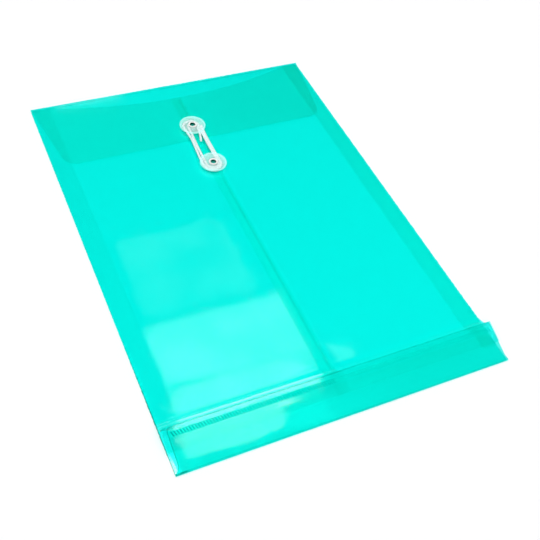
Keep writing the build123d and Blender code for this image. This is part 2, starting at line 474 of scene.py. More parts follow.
@dataclass(frozen=True)
class FilmFinish(Finish):
    """Clear tinted film: a thin gloss over a tint that deepens with every layer.

    Attributes:
        depth: Share of a whole film's tint and haze.
        layer: Tint of a whole film, through both its faces.
        grazing: Tint where the film is seen along itself, of its lines, and of the painted shade
            below.
        body: Colour of the milky haze.
        rim: How far a cut edge takes the deeper tint.
        outline: How far the left side's edge takes it, near the bottom.
        lean: How far the film takes it towards its right side, as painted shade.
        fall: How far the film takes it towards the flap, as painted shade.
        gloss: Share of a full mirror.
        corner_gloss: Gloss that is added in the left bottom corner.
        lap_gloss: Share of the gloss that is left where the back films lap.
        quiet: Place along, below which the right half has lost most of its gloss. The default
            lies off the film.
        welded: Where the strip that a weld has dulled begins and ends along. The default lies off
            the film.
        haze: Share of light that the haze scatters.
        roughness: Roughness of the gloss between scuffs.
        cloud_depth: Depth of the broad dents.
        wave_depth: Depth of the fine waves.
        peel_depth: Depth of the finest relief.
    """

    depth: float = 1.0
    layer: Colour = (0.13, 0.992, 0.962)
    grazing: Colour = (0.02, 0.66, 0.60)
    body: Colour = (0.01, 0.80, 0.70)
    rim: float = 0.10
    outline: float = 0.0
    lean: float = 0.0
    fall: float = 0.0
    gloss: float = 0.75
    corner_gloss: float = 0.0
    lap_gloss: float = 1.0
    quiet: float = -1.0
    welded: Point = (1.0, 2.0)
    haze: float = 0.028
    roughness: float = 0.05
    cloud_depth: float = 0.026 * MM
    wave_depth: float = 0.005 * MM
    peel_depth: float = 0.0012 * MM

    # The same for every film: its strengths, and where its lines and painted shades begin and end.
    scuffing: ClassVar[float] = 0.08
    dulling: ClassVar[float] = 0.85
    index: ClassVar[float] = 1.5
    side_line: ClassVar[float] = 0.8 * MM
    side_edges: ClassVar[Point] = (115.0 * MM, 119.0 * MM)
    outline_fade: ClassVar[Point] = (-150.0 * MM, -60.0 * MM)
    right_shade_span: ClassVar[Point] = (-20.0 * MM, 70.0 * MM)
    flap_shade_span: ClassVar[Point] = (-120.0 * MM, 130.0 * MM)
    quiet_fade: ClassVar[float] = 4.0 * MM
    quiet_side: ClassVar[Point] = (-6.0 * MM, 6.0 * MM)
    corner_side: ClassVar[Point] = (119.5 * MM, 121.0 * MM)
    corner_top: ClassVar[Point] = (-166.0 * MM, -161.0 * MM)
    weld_fade: ClassVar[float] = 0.4 * MM
    roll_start: ClassVar[float] = 0.6 * MM
    roll_full: ClassVar[float] = 0.2 * MM
    roll_bottom: ClassVar[Point] = (-130.0 * MM, -110.0 * MM)
    lap_fade: ClassVar[float] = 0.1 * MM

    def relief(self, graph: Graph) -> Socket:
        """Builds the normal of the dents and waves in the film.

        Args:
            graph: The shader's graph.

        Returns:
            The normal.
        """
        relief = graph.noise(55.0, 2.0) * (self.cloud_depth / MM)
        relief = relief + graph.noise(170.0, 3.0) * (self.wave_depth / MM)
        relief = relief + graph.noise(620.0, 2.0) * (self.peel_depth / MM)
        return graph.bump(relief, MM)

    def left_line(self, graph: Graph) -> Socket:
        """Marks the line along the left side, which fades towards the flap.

        Args:
            graph: The shader's graph.

        Returns:
            The mark, up to the outline's strength.
        """
        leftward = 0.0 - graph.axis("X")
        line = leftward.step(SIZES.half_width - self.side_line, SIZES.half_width)
        line = line.most(graph.edge() * leftward.step(*self.side_edges))
        return line * (1.0 - graph.axis("Y").step(*self.outline_fade)) * self.outline

    def darkness(self, graph: Graph, line: Socket) -> Socket:
        """Tells how far the film takes its deeper tint, painted shade included.

        Args:
            graph: The shader's graph.
            line: The line along the left side.

        Returns:
            The share of the deeper tint.
        """
        facing = graph.node("ShaderNodeLayerWeight", None, {"Blend": 0.5}, "Facing")
        dark = facing.step(0.74, 1.0).most(graph.edge() * self.rim).most(line)
        # Painted shade: darker towards the right side and towards the flap.
        dark = dark.most(graph.axis("X").step(*self.right_shade_span) * self.lean)
        return dark.most(graph.axis("Y").step(*self.flap_shade_span) * self.fall)

    def brightness(self, graph: Graph, line: Socket) -> Socket:
        """Tells how much of a mirror the film is from place to place.

        Args:
            graph: The shader's graph.
            line: The line along the left side, which has no gloss.

        Returns:
            The share of a mirror.
        """
        across, along = graph.axis("X"), graph.axis("Y")
        pressed = 1.0 - along.step(self.quiet, self.quiet + self.quiet_fade)
        pressed = pressed * across.step(*self.quiet_side)
        low, high = self.welded
        strip = along.step(low, low + self.weld_fade)
        strip = strip * (1.0 - along.step(high - self.weld_fade, high))
        half = SIZES.half_width
        roll = across.step(half - self.roll_start, half - self.roll_full)
        roll = roll * along.step(*self.roll_bottom)
        corner = (0.0 - across).step(*self.corner_side)
        corner = corner * (1.0 - along.step(*self.corner_top))
        lap = across.step(SIZES.seam_left - self.lap_fade, SIZES.seam_left)
        lap = lap * (1.0 - across.step(SIZES.seam_right, SIZES.seam_right + self.lap_fade))
        bright = (1.0 - self.dulling * pressed.most(strip).most(roll)) * (1.0 - line)
        bright = bright * (self.gloss + self.corner_gloss * corner)
        return bright * (1.0 - (1.0 - self.lap_gloss) * lap)

    def surface(self, graph: Graph) -> Socket:
        """Builds the film: tint, a little haze and a mirror over both.

        Args:
            graph: The shader's graph.

        Returns:
            The finished shader.
        """
        outer = 1.0 - graph.node("ShaderNodeNewGeometry", output="Backfacing")
        scuff = graph.noise(160.0, 6.0).step(0.56, 0.72)
        normal = self.relief(graph)
        shine = graph.principled(
            {
                "Base Color": rgba(WHITE),
                "Metallic": 1.0,
                "Roughness": self.roughness + self.scuffing * scuff,
                "Normal": normal,
            }
        )
        milky = graph.principled(
            {
                "Base Color": rgba(self.body),
                "Roughness": 0.6,
                "Specular IOR Level": 0.0,
                "Normal": normal,
            }
        )
        face = tuple(channel ** (0.5 * self.depth) for channel in self.layer)
        line = self.left_line(graph)
        dark = self.darkness(graph, line)
        through = graph.mix(dark, graph.clear(face), graph.clear(self.grazing))
        tinted = graph.mix(outer * (self.haze * self.depth), through, milky)
        mirror = graph.node("ShaderNodeFresnel", None, {"IOR": self.index, "Normal": normal})
        return graph.mix(mirror * outer * self.brightness(graph, line), tinted, shine)


@dataclass(frozen=True)
class DiscFinish(Finish):
    """Frosted white plastic that lets much of the light through, with a painted glow and a painted
    rim highlight.
    """

    colour: Colour = (0.94, 0.995, 0.985)
    solid: float = 0.24
    rim_start: float = 9.7 * MM
    rim_blend: float = 0.5 * MM
    rim_solid: float = 0.05
    # Painted highlight: bright cyan colour and glow of the raised rim.
    ring: Colour = (0.62, 1.0, 0.97)
    # Painted glow over the rest of the disc.
    painted_glow_colour: Colour = (0.10, 0.15, 0.145)
    see_through: Colour = (0.97, 1.0, 1.0)
    # Strength of the painted glow; the disc is no lamp.
    glow: float = 0.45
    grain_depth: float = 0.006 * MM

    def surface(self, graph: Graph) -> Socket:
        """Builds the plastic, a little denser in the raised rim, with its painted glow and rim
        highlight.

        Args:
            graph: The shader's graph.

        Returns:
            The finished shader.
        """
        grain = graph.noise(1400.0, 3.0)
        cloud = graph.noise(180.0, 2.0)
        rim = graph.radius().step(self.rim_start, self.rim_start + self.rim_blend)
        pale = tuple(min(1.0, channel * 1.05) for channel in self.colour)
        milk = graph.mix_colour(cloud, rgba(self.colour), rgba(pale))
        solid = graph.principled(
            {
                # The rim's colour and the emission below are painted highlight and painted glow.
                "Base Color": graph.mix_colour(rim, milk, rgba(self.ring)),
                "Roughness": 0.3 + 0.14 * grain,
                "Emission Color": graph.mix_colour(rim, rgba(self.painted_glow_colour), rgba(self.ring)),
                "Emission Strength": self.glow,
                "Normal": graph.bump(grain, self.grain_depth),
            }
        )
        return graph.mix(self.solid + self.rim_solid * rim, graph.clear(self.see_through), solid)


@dataclass(frozen=True)
class EyeletFinish(Finish):
    """White lacquer over rolled metal, rubbed grey in places, with painted shade round its rolled
    edge and painted shade and light in the bore.
    """

    colour: Colour = (0.93, 0.94, 0.93)
    # Grey of the rubbed lacquer, also used as painted shade round the rolled edge.
    wear_and_shade: Colour = (0.55, 0.54, 0.50)
    # Painted shade: the dark green of the shadowed bore, high up.
    inside: Colour = (0.006, 0.09, 0.06)
    # Painted light: the turquoise that the film throws on the bore, lower down.
    glow: Colour = (0.05, 0.62, 0.52)
    bore_rim: Point = (2.27 * MM, 2.41 * MM)
    # Where the rolled edge is painted grey as shade.
    shaded_rim: Point = (3.35 * MM, 3.7 * MM)
    # Heights over which the bore goes from painted light to painted shade.
    bore_shade_heights: Point = (3.0 * MM, 3.9 * MM)
    dent_depth: float = 0.008 * MM

    def surface(self, graph: Graph) -> Socket:
        """Builds the lacquer, its rubbed places and its painted shade and light.

        Args:
            graph: The shader's graph.

        Returns:
            The finished shader.
        """
        wear = graph.noise(900.0, 5.0).step(0.62, 0.80)
        normal = graph.bump(graph.noise(700.0, 3.0), self.dent_depth)
        radius = graph.radius()
        rolled = radius.step(*self.shaded_rim)
        bore = 1.0 - radius.step(*self.bore_rim)
        # Random wear, and painted shade round the rolled edge.
        lacquer = graph.mix_colour(wear * 0.5 + rolled * 0.8, rgba(self.colour), rgba(self.wear_and_shade))
        # Painted light low in the bore and painted shade higher up.
        deep = graph.axis("Z").step(*self.bore_shade_heights)
        wall = graph.mix_colour(deep, rgba(self.glow), rgba(self.inside))
        return graph.principled(
            {
                "Base Color": graph.mix_colour(bore, lacquer, wall),
                "Roughness": 0.24 + 0.3 * wear,
                "Coat Weight": 0.4 - 0.4 * bore,
                "Normal": normal,
            }
        )


@dataclass(frozen=True)
class StringFinish(Finish):
    """White twisted polyester."""

    colour: Colour = (0.82, 0.93, 0.925)
    shade: Colour = (0.70, 0.84, 0.835)
    fibre_depth: float = 0.05 * MM

    def surface(self, graph: Graph) -> Socket:
        """Builds the fibres.

        Args:
            graph: The shader's graph.

        Returns:
            The finished shader.
        """
        fibre = graph.noise(2600.0, 4.0)
        normal = graph.bump(fibre, self.fibre_depth)
        colour = graph.mix_colour(fibre.step(0.35, 0.6), rgba(self.shade), rgba(self.colour))
        return graph.principled(
            {"Base Color": colour, "Roughness": 0.85, "Sheen Weight": 0.3, "Normal": normal}
        )


def new_object(
    name: str, points: Sequence[Vector], faces: Sequence[Sequence[int]]
) -> bpy.types.Object:
    """Makes a mesh object, smooth except where it turns sharply.

    Args:
        name: The piece's name.
        points: Vertices in the row frame.
        faces: Vertex numbers of each face.

    Returns:
        The object, linked to the scene.
    """
    mesh = bpy.data.meshes.new(name)
    mesh.from_pydata([tuple(point) for point in points], [], faces)
    mesh.update()
    mesh.polygons.foreach_set("use_smooth", [True] * len(mesh.polygons))
    mesh.set_sharp_from_angle(angle=SHARP_TURN)
    made = bpy.data.objects.new(name, mesh)
    bpy.context.scene.collection.objects.link(made)
    return made


def divided(loop: Sequence[Point], spacing: float) -> list[Point]:
    """Splits a closed loop's long sides.

    Args:
        loop: The corners.
        spacing: The longest step that is left.

    Returns:
        The loop with points along its sides.
    """
    found = []
    for start, end in zip(loop, [*loop[1:], loop[0]]):
        steps = max(1, math.ceil(math.dist(start, end) / spacing - 1e-6))
        for step in range(steps):
            t = step / steps
            found.append(tuple(a + (b - a) * t for a, b in zip(start, end)))
    return found


def rounded(loop: Sequence[Point], radii: Sequence[float], steps: int = 5) -> list[Point]:
    """Rounds the corners of a closed loop.

    Args:
        loop: The corners.
        radii: How far each corner is cut back, 0 to keep it.
        steps: Points along each rounding.

    Returns:
        The rounded loop.
    """
    found = []
    count = len(loop)
    for i, (corner, radius) in enumerate(zip(loop, radii)):
        here = Vector(corner)
        if radius == 0.0:
            found.append(corner)
            continue
        before, after = Vector(loop[i - 1]), Vector(loop[(i + 1) % count])
        start = here + (before - here).normalized() * radius
        end = here + (after - here).normalized() * radius
        for step in range(steps + 1):
            t = step / steps
            found.append(tuple(start * (1 - t) ** 2 + here * 2 * t * (1 - t) + end * t * t))
    return found


def inset(loop: Sequence[Point], reach: float) -> list[Point]:
    """Moves a closed loop inwards.

    Args:
        loop: The corners, counter-clockwise.
        reach: How far in.

    Returns:
        The smaller loop.
    """
    found = []
    for before, here, after in zip([loop[-1], *loop], loop, [*loop[1:], loop[0]]):
        ahead = Vector(after) - Vector(before)
        inward = Vector((-ahead.y, ahead.x)).normalized()
        found.append(tuple(Vector(here) + inward * reach))
    return found


def circle(centre: Vector, radius: float, steps: int) -> list[Point]:
    """Points round a circle seen from above.

    Args:
        centre: Its middle.
        radius: Its radius.
        steps: The number of points.

    Returns:
        The points, counter-clockwise.
    """
    angles = [2.0 * math.pi * step / steps for step in range(steps)]
    return [(centre.x + radius * math.cos(a), centre.y + radius * math.sin(a)) for a in angles]


def inside(points: np.ndarray, loop: np.ndarray) -> np.ndarray:
    """Tells which points lie inside a closed loop.

    Args:
        points: The points, one to a row.
        loop: The loop's corners, one to a row.

    Returns:
        True for each point inside.
    """
    x, y = points[:, :1], points[:, 1:]
    start, end = loop, np.roll(loop, -1, axis=0)
    crosses = (start[:, 1] > y) != (end[:, 1] > y)
    run = np.where(end[:, 1] == start[:, 1], 1.0, end[:, 1] - start[:, 1])
    at = start[:, 0] + (y - start[:, 1]) * (end[:, 0] - start[:, 0]) / run
    return (np.sum(crosses & (x < at), axis=1) % 2).astype(bool)


def clearance(points: np.ndarray, loop: np.ndarray) -> np.ndarray:
    """Least distance from each point to a closed loop's corners.

    Args:
        points: The points, one to a row.
        loop: The loop's corners, one to a row.

    Returns:
        The distances.
    """
    gaps = points[:, None, :] - loop[None, :, :]
    return np.sqrt((gaps**2).sum(axis=2)).min(axis=1)


def thickened(
    name: str, flat: Sequence[Point], faces: Sequence[Sequence[int]], shape: Shape
) -> bpy.types.Object:
    """Bends a flat mesh, gives it both faces of the film and marks its rim.

    Args:
        name: The piece's name.
        flat: Points of the flat mesh.
        faces: Faces of the flat mesh, counter-clockwise.
        shape: Where the middle of the film lies at each flat point.

    Returns:
        The closed film.
    """
    reach = 0.02 * MM
    above, below = [], []
    for u, v in flat:
        middle = shape(u, v)
        across = shape(u + reach, v) - shape(u - reach, v)
        along = shape(u, v + reach) - shape(u, v - reach)
        normal = across.cross(along).normalized() * (SIZES.film / 2.0)
        above.append(middle + normal)
        below.append(middle - normal)
    count = len(flat)
    edges = {(a, b) for face in faces for a, b in zip(face, [*face[1:], face[0]])}
    border = [(a, b) for a, b in sorted(edges) if (b, a) not in edges]
    closed = [*faces, *[[i + count for i in reversed(face)] for face in faces]]
    closed += [[b, a, a + count, b + count] for a, b in border]
    made = new_object(name, above + below, closed)
    rim = {point for pair in border for point in pair}
    mark = made.data.attributes.new(EDGE, "FLOAT", "POINT")
    mark.data.foreach_set("value", [float(i % count in rim) for i in range(2 * count)])
    return made


def film_strip(
    name: str, shape: Shape, across: Sequence[float], along: Sequence[float]
) -> bpy.types.Object:
    """Builds a bent strip of film on a plain grid.

    Args:
        name: The piece's name.
        shape: Where the middle of the film lies at each flat point.
        across: The grid's places across.
        along: The grid's places along.

    Returns:
        The closed film.
    """
    flat = [(u, v) for v in along for u in across]
    wide = len(across)
    faces = []
    for row in range(len(along) - 1):
        for i in range(row * wide, row * wide + wide - 1):
            faces.append([i, i + 1, i + wide + 1, i + wide])
    return thickened(name, flat, faces, shape)


def spread(low: float, high: float, spacing: float) -> list[float]:
    """Even steps from one value to another.

    Args:
        low: The first value.
        high: The last value.
        spacing: The longest step.

    Returns:
        The values, with both ends.
    """
    steps = max(1, math.ceil((high - low) / spacing - 1e-6))
    return [low + (high - low) * step / steps for step in range(steps + 1)]


@dataclass
class FilmSheet:
    """A sheet of film cut to a flat outline and bent by a shape, with both faces and its rim."""

    outline: list[Point]
    shape: Shape
    spacing: float = 4.0 * MM
    edge_width: float = 0.7 * MM
    holes: list[list[Point]] = field(default_factory=list)
    lines: list[list[Point]] = field(default_factory=list)
    least_gap: ClassVar[float] = 0.55
    flat_turn: ClassVar[float] = math.radians(5.0)
    quad_skew: ClassVar[float] = math.radians(50.0)

    def triangles(self) -> tuple[list[Vector], list[list[int]]]:
        """Fills the outline with points and the triangles between them.

        Returns:
            The flat points in millimetres and the triangles, without those in the holes.
        """
        loops = [divided(self.outline, self.spacing), *self.holes]
        rims = [np.array(loop) for loop in loops]
        low, high = rims[0].min(axis=0), rims[0].max(axis=0)
        counts = np.maximum(2, np.ceil((high - low) / self.spacing).astype(int))
        across = np.linspace(low[0], high[0], counts[0] + 1)[1:-1]
        along = np.linspace(low[1], high[1], counts[1] + 1)[1:-1]
        grid = np.stack(np.meshgrid(across, along), axis=-1).reshape(-1, 2)
        drawn = inset(loops[0], self.edge_width)
        drawn += [point for line in self.lines for point in line]
        for rim in [*rims, np.array(drawn)]:
            grid = grid[clearance(grid, rim) > self.least_gap * self.spacing]
        grid = grid[inside(grid, rims[0])]
        points, edges = [], []
        for loop in loops:
            first = len(points)
            points += loop
            edges += [(first + i, first + (i + 1) % len(loop)) for i in range(len(loop))]
        points += drawn
        points += [tuple(point) for point in grid]
        flat, _, faces, *_ = geometry.delaunay_2d_cdt(
            [Vector(point) / MM for point in points], edges, [], 1, 1e-5
        )
        corners = [[flat[i] for i in face] for face in faces]
        middles = np.array([sum(face, Vector((0, 0))) / len(face) for face in corners])
        keep = np.ones(len(faces), bool)
        for rim in rims[1:]:
            keep &= ~inside(middles, rim / MM)
        return flat, [face for face, kept in zip(faces, keep) if kept]

    def flat(self) -> tuple[list[Point], list[list[int]]]:
        """Joins the triangles to quads where they suit.

        Returns:
            The flat points and the faces between them.
        """
        flat, faces = self.triangles()
        mesh = bmesh.new()
        verts = [mesh.verts.new((point.x * MM, point.y * MM, 0.0)) for point in flat]
        for face in faces:
            mesh.faces.new([verts[i] for i in face])
        bmesh.ops.join_triangles(
            mesh,
            faces=list(mesh.faces),
            angle_face_threshold=self.flat_turn,
            angle_shape_threshold=self.quad_skew,
        )
        bmesh.ops.delete(mesh, geom=[v for v in mesh.verts if not v.link_faces], context="VERTS")
        mesh.verts.index_update()
        made = [tuple(vert.co.xy) for vert in mesh.verts]
        found = [[vert.index for vert in face.verts] for face in mesh.faces]
        mesh.free()
        return made, found

    def build(self, name: str) -> bpy.types.Object:
        """Bends the flat sheet and gives it its thickness.

        Args:
            name: The piece's name.

        Returns:
            The closed film.
        """
        return thickened(name, *self.flat(), self.shape)


def lathe(
    name: str, corners: Sequence[Corner], bends: int, centre: Vector, steps: int
) -> bpy.types.Object:
    """Turns a closed profile round an upright axis.

    Args:
        name: The piece's name.
        corners: Radius, height and rounding of each corner, counter-clockwise.
        bends: Steps along each rounding.
        centre: The axis, at the row frame's table level.
        steps: Facets round the axis.

    Returns:
        The turned piece.
    """
    sharp = [(radius, height) for radius, height, _ in corners]
    profile = rounded(sharp, [rounding for *_, rounding in corners], bends)
    points, faces = [], []
    count = len(profile)
    for step in range(steps):
        angle = 2.0 * math.pi * step / steps
        for radius, height in profile:
            points.append(Vector((radius * math.cos(angle), radius * math.sin(angle), height)))
    for step in range(steps):
        here, there = step * count, (step + 1) % steps * count
        for i in range(count):
            j = (i + 1) % count
            faces.append([here + i, there + i, there + j, here + j])
    turned = new_object(name, points, faces)
    turned.location = (centre.x, centre.y, 0.0)
    return turned


def ribs(
    name: str, places: Sequence[Matrix], length: float, width: float, height: float
) -> bpy.types.Object:
    """Builds a row of small raised weld marks.

    Args:
        name: The piece's name.
        places: Where each mark lies: X along it, Z off the film.
        length: Length of a mark.
        width: Width of a mark.
        height: How far it stands off the film.

    Returns:
        All the marks as one piece.
    """
    foot, slim = -0.05 * MM, 0.35
    end, crown = length / 2.0, length * 0.36
    outline = [(-end, -width / 2), (end, -width / 2), (end, width / 2), (-end, width / 2)]
    shape = [Vector((x, y, foot)) for x, y in outline]
    shape += [Vector((x * crown / end, y * slim, height)) for x, y in outline]
    sides = [[3, 2, 1, 0], [4, 5, 6, 7]]
    sides += [[i, (i + 1) % 4, (i + 1) % 4 + 4, i + 4] for i in range(4)]
    points, faces = [], []
    for place in places:
        first = len(points)
        points += [place @ corner for corner in shape]
        faces += [[first + i for i in face] for face in sides]
    return new_object(name, points, faces)


@dataclass
class SubAssembly:
    """A part of the envelope that builds its pieces and then dresses them."""

    slot: ClassVar[str] = "film"
    pieces: list[tuple[bpy.types.Object, Finish]] = field(default_factory=list, init=False)

    def add(self, piece: bpy.types.Object, finish: Finish, body: str, *nodes: str) -> None:
        """Lets a piece ride on a body in place of CAD nodes."""
        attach(piece, body)
        self.keep(piece, finish, nodes)

    def keep(self, piece: bpy.types.Object, finish: Finish, nodes: Sequence[str]) -> None:
        """Notes a piece and what it stands for.

        Args:
            piece: The piece.
            finish: Its surface.
            nodes: The CAD nodes it stands for, if any.
        """
        if nodes:
            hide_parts(*nodes)
        self.pieces.append((piece, finish))

    def bend(
        self,
        piece: bpy.types.Object,
        finish: Finish,
        bodies: tuple[str, str],
        span: tuple[Vector, Vector],
        *nodes: str,
    ) -> None:
        """Bakes a piece's placement into its mesh and keeps it in place of CAD nodes.

        Args:
            piece: The bent piece.
            finish: Its surface.
            bodies: The bodies that it would follow at its start and at its end; not used.
            span: Where it would begin to bend and where it would have bent; not used.
            nodes: The CAD nodes it stands for.
        """
        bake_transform(piece)
        self.keep(piece, finish, nodes)

    def build(self) -> None:
        """Builds the pieces."""
        raise NotImplementedError

    def dress(self) -> None:
        """Gives every piece its material."""
        for piece, finish in self.pieces:
            piece.data.materials.append(finish.material())


FRONT = FilmFinish("turquoise_front", outline=0.8, corner_gloss=3.0)
# Its fall paints shade, darker towards the flap.
PANEL = FilmFinish(
    "turquoise_panel",
    layer=(0.13, 0.994, 0.970),
    grazing=(0.05, 0.88, 0.83),
    fall=0.08,
    lap_gloss=0.35,
    quiet=SIZES.rise_start - 2.0 * MM,
)
# Its tint is deeper than the front's: the film's own tint with the shade under the flap painted in.
# Its lean paints shade towards the right.
FLAP = FilmFinish("turquoise_flap", layer=(0.12, 0.978, 0.945), rim=0.0, lean=0.04)
# Its tint is deeper than the front's: the film's own tint with the shade under the raised band
# painted in. Its lean paints shade towards the right.
BAND = FilmFinish(
    "turquoise_band",
    layer=(0.12, 0.972, 0.92),
    rim=0.2,
    outline=0.8,
    lean=0.06,
    welded=(-157.0 * MM, -152.9 * MM),
    cloud_depth=0.05 * MM,
)
TAIL = FilmFinish(
    "turquoise_tail", depth=0.35, grazing=(0.05, 0.85, 0.80), rim=0.05, quiet=SIZES.rise_start
)
# Their fall paints a little shade towards the flap.
GUSSETS = {
    Side.LEFT: FilmFinish("turquoise_gusset_left", depth=0.1, rim=0.0, fall=0.012, gloss=0.2),
    Side.RIGHT: FilmFinish("turquoise_gusset_right", depth=0.42, rim=0.0, fall=0.01, gloss=0.5),
}
CREASE = FilmFinish(
    "turquoise_crease", layer=(0.08, 0.94, 0.90), grazing=(0.05, 0.85, 0.80), rim=0.0, gloss=1.0
)
WELD = FilmFinish(
    "turquoise_weld",
    layer=(0.005, 0.76, 0.68),
    body=(0.0, 0.68, 0.59),
    rim=0.0,
    gloss=0.0,
    haze=0.4,
)
FAINT_WELD = FilmFinish(
    "turquoise_faint_weld",
    layer=(0.09, 0.955, 0.925),
    body=(0.0, 0.72, 0.64),
    rim=0.0,
    gloss=0.1,
    haze=0.15,
)

# The roll of film at the envelope's sides, and where lines of points let it bend.
CURL_RADIUS = (SIZES.strip_low - SIZES.front_level) / 2.0
CURL_LENGTH = math.pi * CURL_RADIUS
CURL_SHARES = (-0.6, 0.0, 0.25, 0.5, 0.75)
LINE_SPACING = 3.0 * MM
# How far in from its edge a film with a rolled side has its first line of points.
ROLLED_EDGE = 1.2 * MM
# Steps along the bent film of a crease, and round a hole.
CREASE_SPACING = 0.26 * MM
HOLE_STEPS = 40


def curled(x: float) -> Point:
    """Rolls film over at the envelope's side.

    Args:
        x: Place across the flat film.

    Returns:
        The place across once rolled, and how far that has left the film's own level.
    """
    over = abs(x) - SIZES.half_width
    if over <= 0.0:
        return x, 0.0
    turn = over / CURL_RADIUS
    out = math.copysign(SIZES.half_width + CURL_RADIUS * math.sin(turn), x)
    return out, CURL_RADIUS * (1.0 - math.cos(turn))


def curl_lines(side: float, low: float, high: float) -> list[list[Point]]:
    """Draws the lines of points that let film roll over at one side.

    Args:
        side: The sign of X on that side.
        low: Where the rolled side begins along.
        high: Where it ends.

    Returns:
        The lines, from the flat film outwards.
    """
    found = []
    for share in CURL_SHARES:
        x = side * (SIZES.half_width + share * CURL_LENGTH)
        found.append([(x, y) for y in spread(low, high, LINE_SPACING)[1:-1]])
    return found


@dataclass
class FrontPanel(SubAssembly):
    """The panel that lies on the table, rolled over into the gussets at its sides."""

    def shape(self, x: float, y: float) -> Vector:
        """Flat on the table, with its sides rolled up."""
        place, lift = curled(x)
        return Vector((place, y, SIZES.front_level + lift))

    def build(self) -> None:
        """Builds the panel."""
        wide, half = SIZES.half_width + CURL_LENGTH, SIZES.half_width
        low, high = SIZES.foot_far, SIZES.mouth_side
        right = [(half, SIZES.bottom_crease), (half, low), (wide, low), (wide, high), (half, high)]
        right.append((half, SIZES.top_crease))
        outline = right + [(-x, y) for x, y in reversed(right)]
        lines = curl_lines(1.0, low, high) + curl_lines(-1.0, low, high)
        sheet = FilmSheet(outline, self.shape, edge_width=ROLLED_EDGE, lines=lines)
        self.add(sheet.build("front_film"), FRONT, "front_panel", "front_panel")


@dataclass
class ClosingFlap(SubAssembly):
    """The flap folded over the mouth, and the bent film of its crease.

    Attributes:
        taper: How far each side draws in towards the free edge.
        corner: Rounding of the free corners.
        lift: How far the free edge springs up.
        wave: Height of the waves along it.
        wave_length: Length of those waves.
        held_reach: Length over which the button holds the flap down.
        held_share: Share of that reach where it can't lift at all.
        pinch: Depth of the nicks that the gussets' inner folds leave in the crease.
        pinch_width: Half width of those nicks.
        pinch_spacing: Step of the crease's mesh across.
    """

    taper: float = 11.0 * MM
    corner: float = 11.0 * MM
    lift: float = 0.12 * MM
    wave: float = 0.05 * MM
    wave_length: float = 50.0 * MM
    held_reach: float = 40.0 * MM
    held_share: float = 0.4
    pinch: float = 0.25 * MM
    pinch_width: float = 0.7 * MM
    pinch_spacing: float = 0.5 * MM

    def shape(self, x: float, y: float) -> Vector:
        """Lies flat over the mouth, springing up a little towards the free edge.

        Args:
            x: Place across.
            y: Place along.

        Returns:
            The middle of the film there.
        """
        free = smooth((SIZES.top_crease - y) / (SIZES.top_crease - SIZES.flap_edge))
        reach = (Vector((x, y)) - SIZES.upper.xy).length
        away = smooth(reach / self.held_reach - self.held_share)
        wave = self.wave * ripple(x, y, self.wave_length, 4.0)
        return Vector((x, y, SIZES.flap_level + free * away * (self.lift + wave)))

    def crease_shape(self, x: float, along: float) -> Vector:
        """Makes a half turn from the front panel, pinched over the gussets' inner folds.

        Args:
            x: Place across.
            along: Distance round the turn.

        Returns:
            The middle of the film there.
        """
        notch = math.exp(-(((abs(x) - SIZES.gusset_line) / self.pinch_width) ** 2))
        turn = along / SIZES.crease_radius - math.pi / 2.0
        out = (SIZES.crease_radius - self.pinch * notch) * math.cos(turn)
        z = SIZES.crease_radius + SIZES.film / 2.0 + SIZES.crease_radius * math.sin(turn)
        return Vector((x, SIZES.top_crease + out, z))

    def build(self) -> None:
        """Builds the flap and its crease."""
        half, edge = SIZES.half_width, SIZES.flap_edge
        corners = [(-half + self.taper, edge), (half - self.taper, edge)]
        corners += [(half, SIZES.top_crease), (-half, SIZES.top_crease)]
        outline = rounded(corners, [self.corner, self.corner, 0.0, 0.0], 10)
        hole = circle(SIZES.upper, SIZES.hole_radius, HOLE_STEPS)
        sheet = FilmSheet(outline, self.shape, holes=[hole])
        self.add(sheet.build("flap_film"), FLAP, "flap", "closing_flap")
        turn = spread(0.0, math.pi * SIZES.crease_radius, CREASE_SPACING)
        across = spread(-half, half, self.pinch_spacing)
        crease = film_strip("flap_crease", self.crease_shape, across, turn)
        low = Vector((0.0, SIZES.top_crease, SIZES.front_level))
        high = Vector((0.0, SIZES.top_crease, SIZES.flap_level))
        self.bend(crease, CREASE, ("front_panel", "flap"), (low, high), "flap_fold")


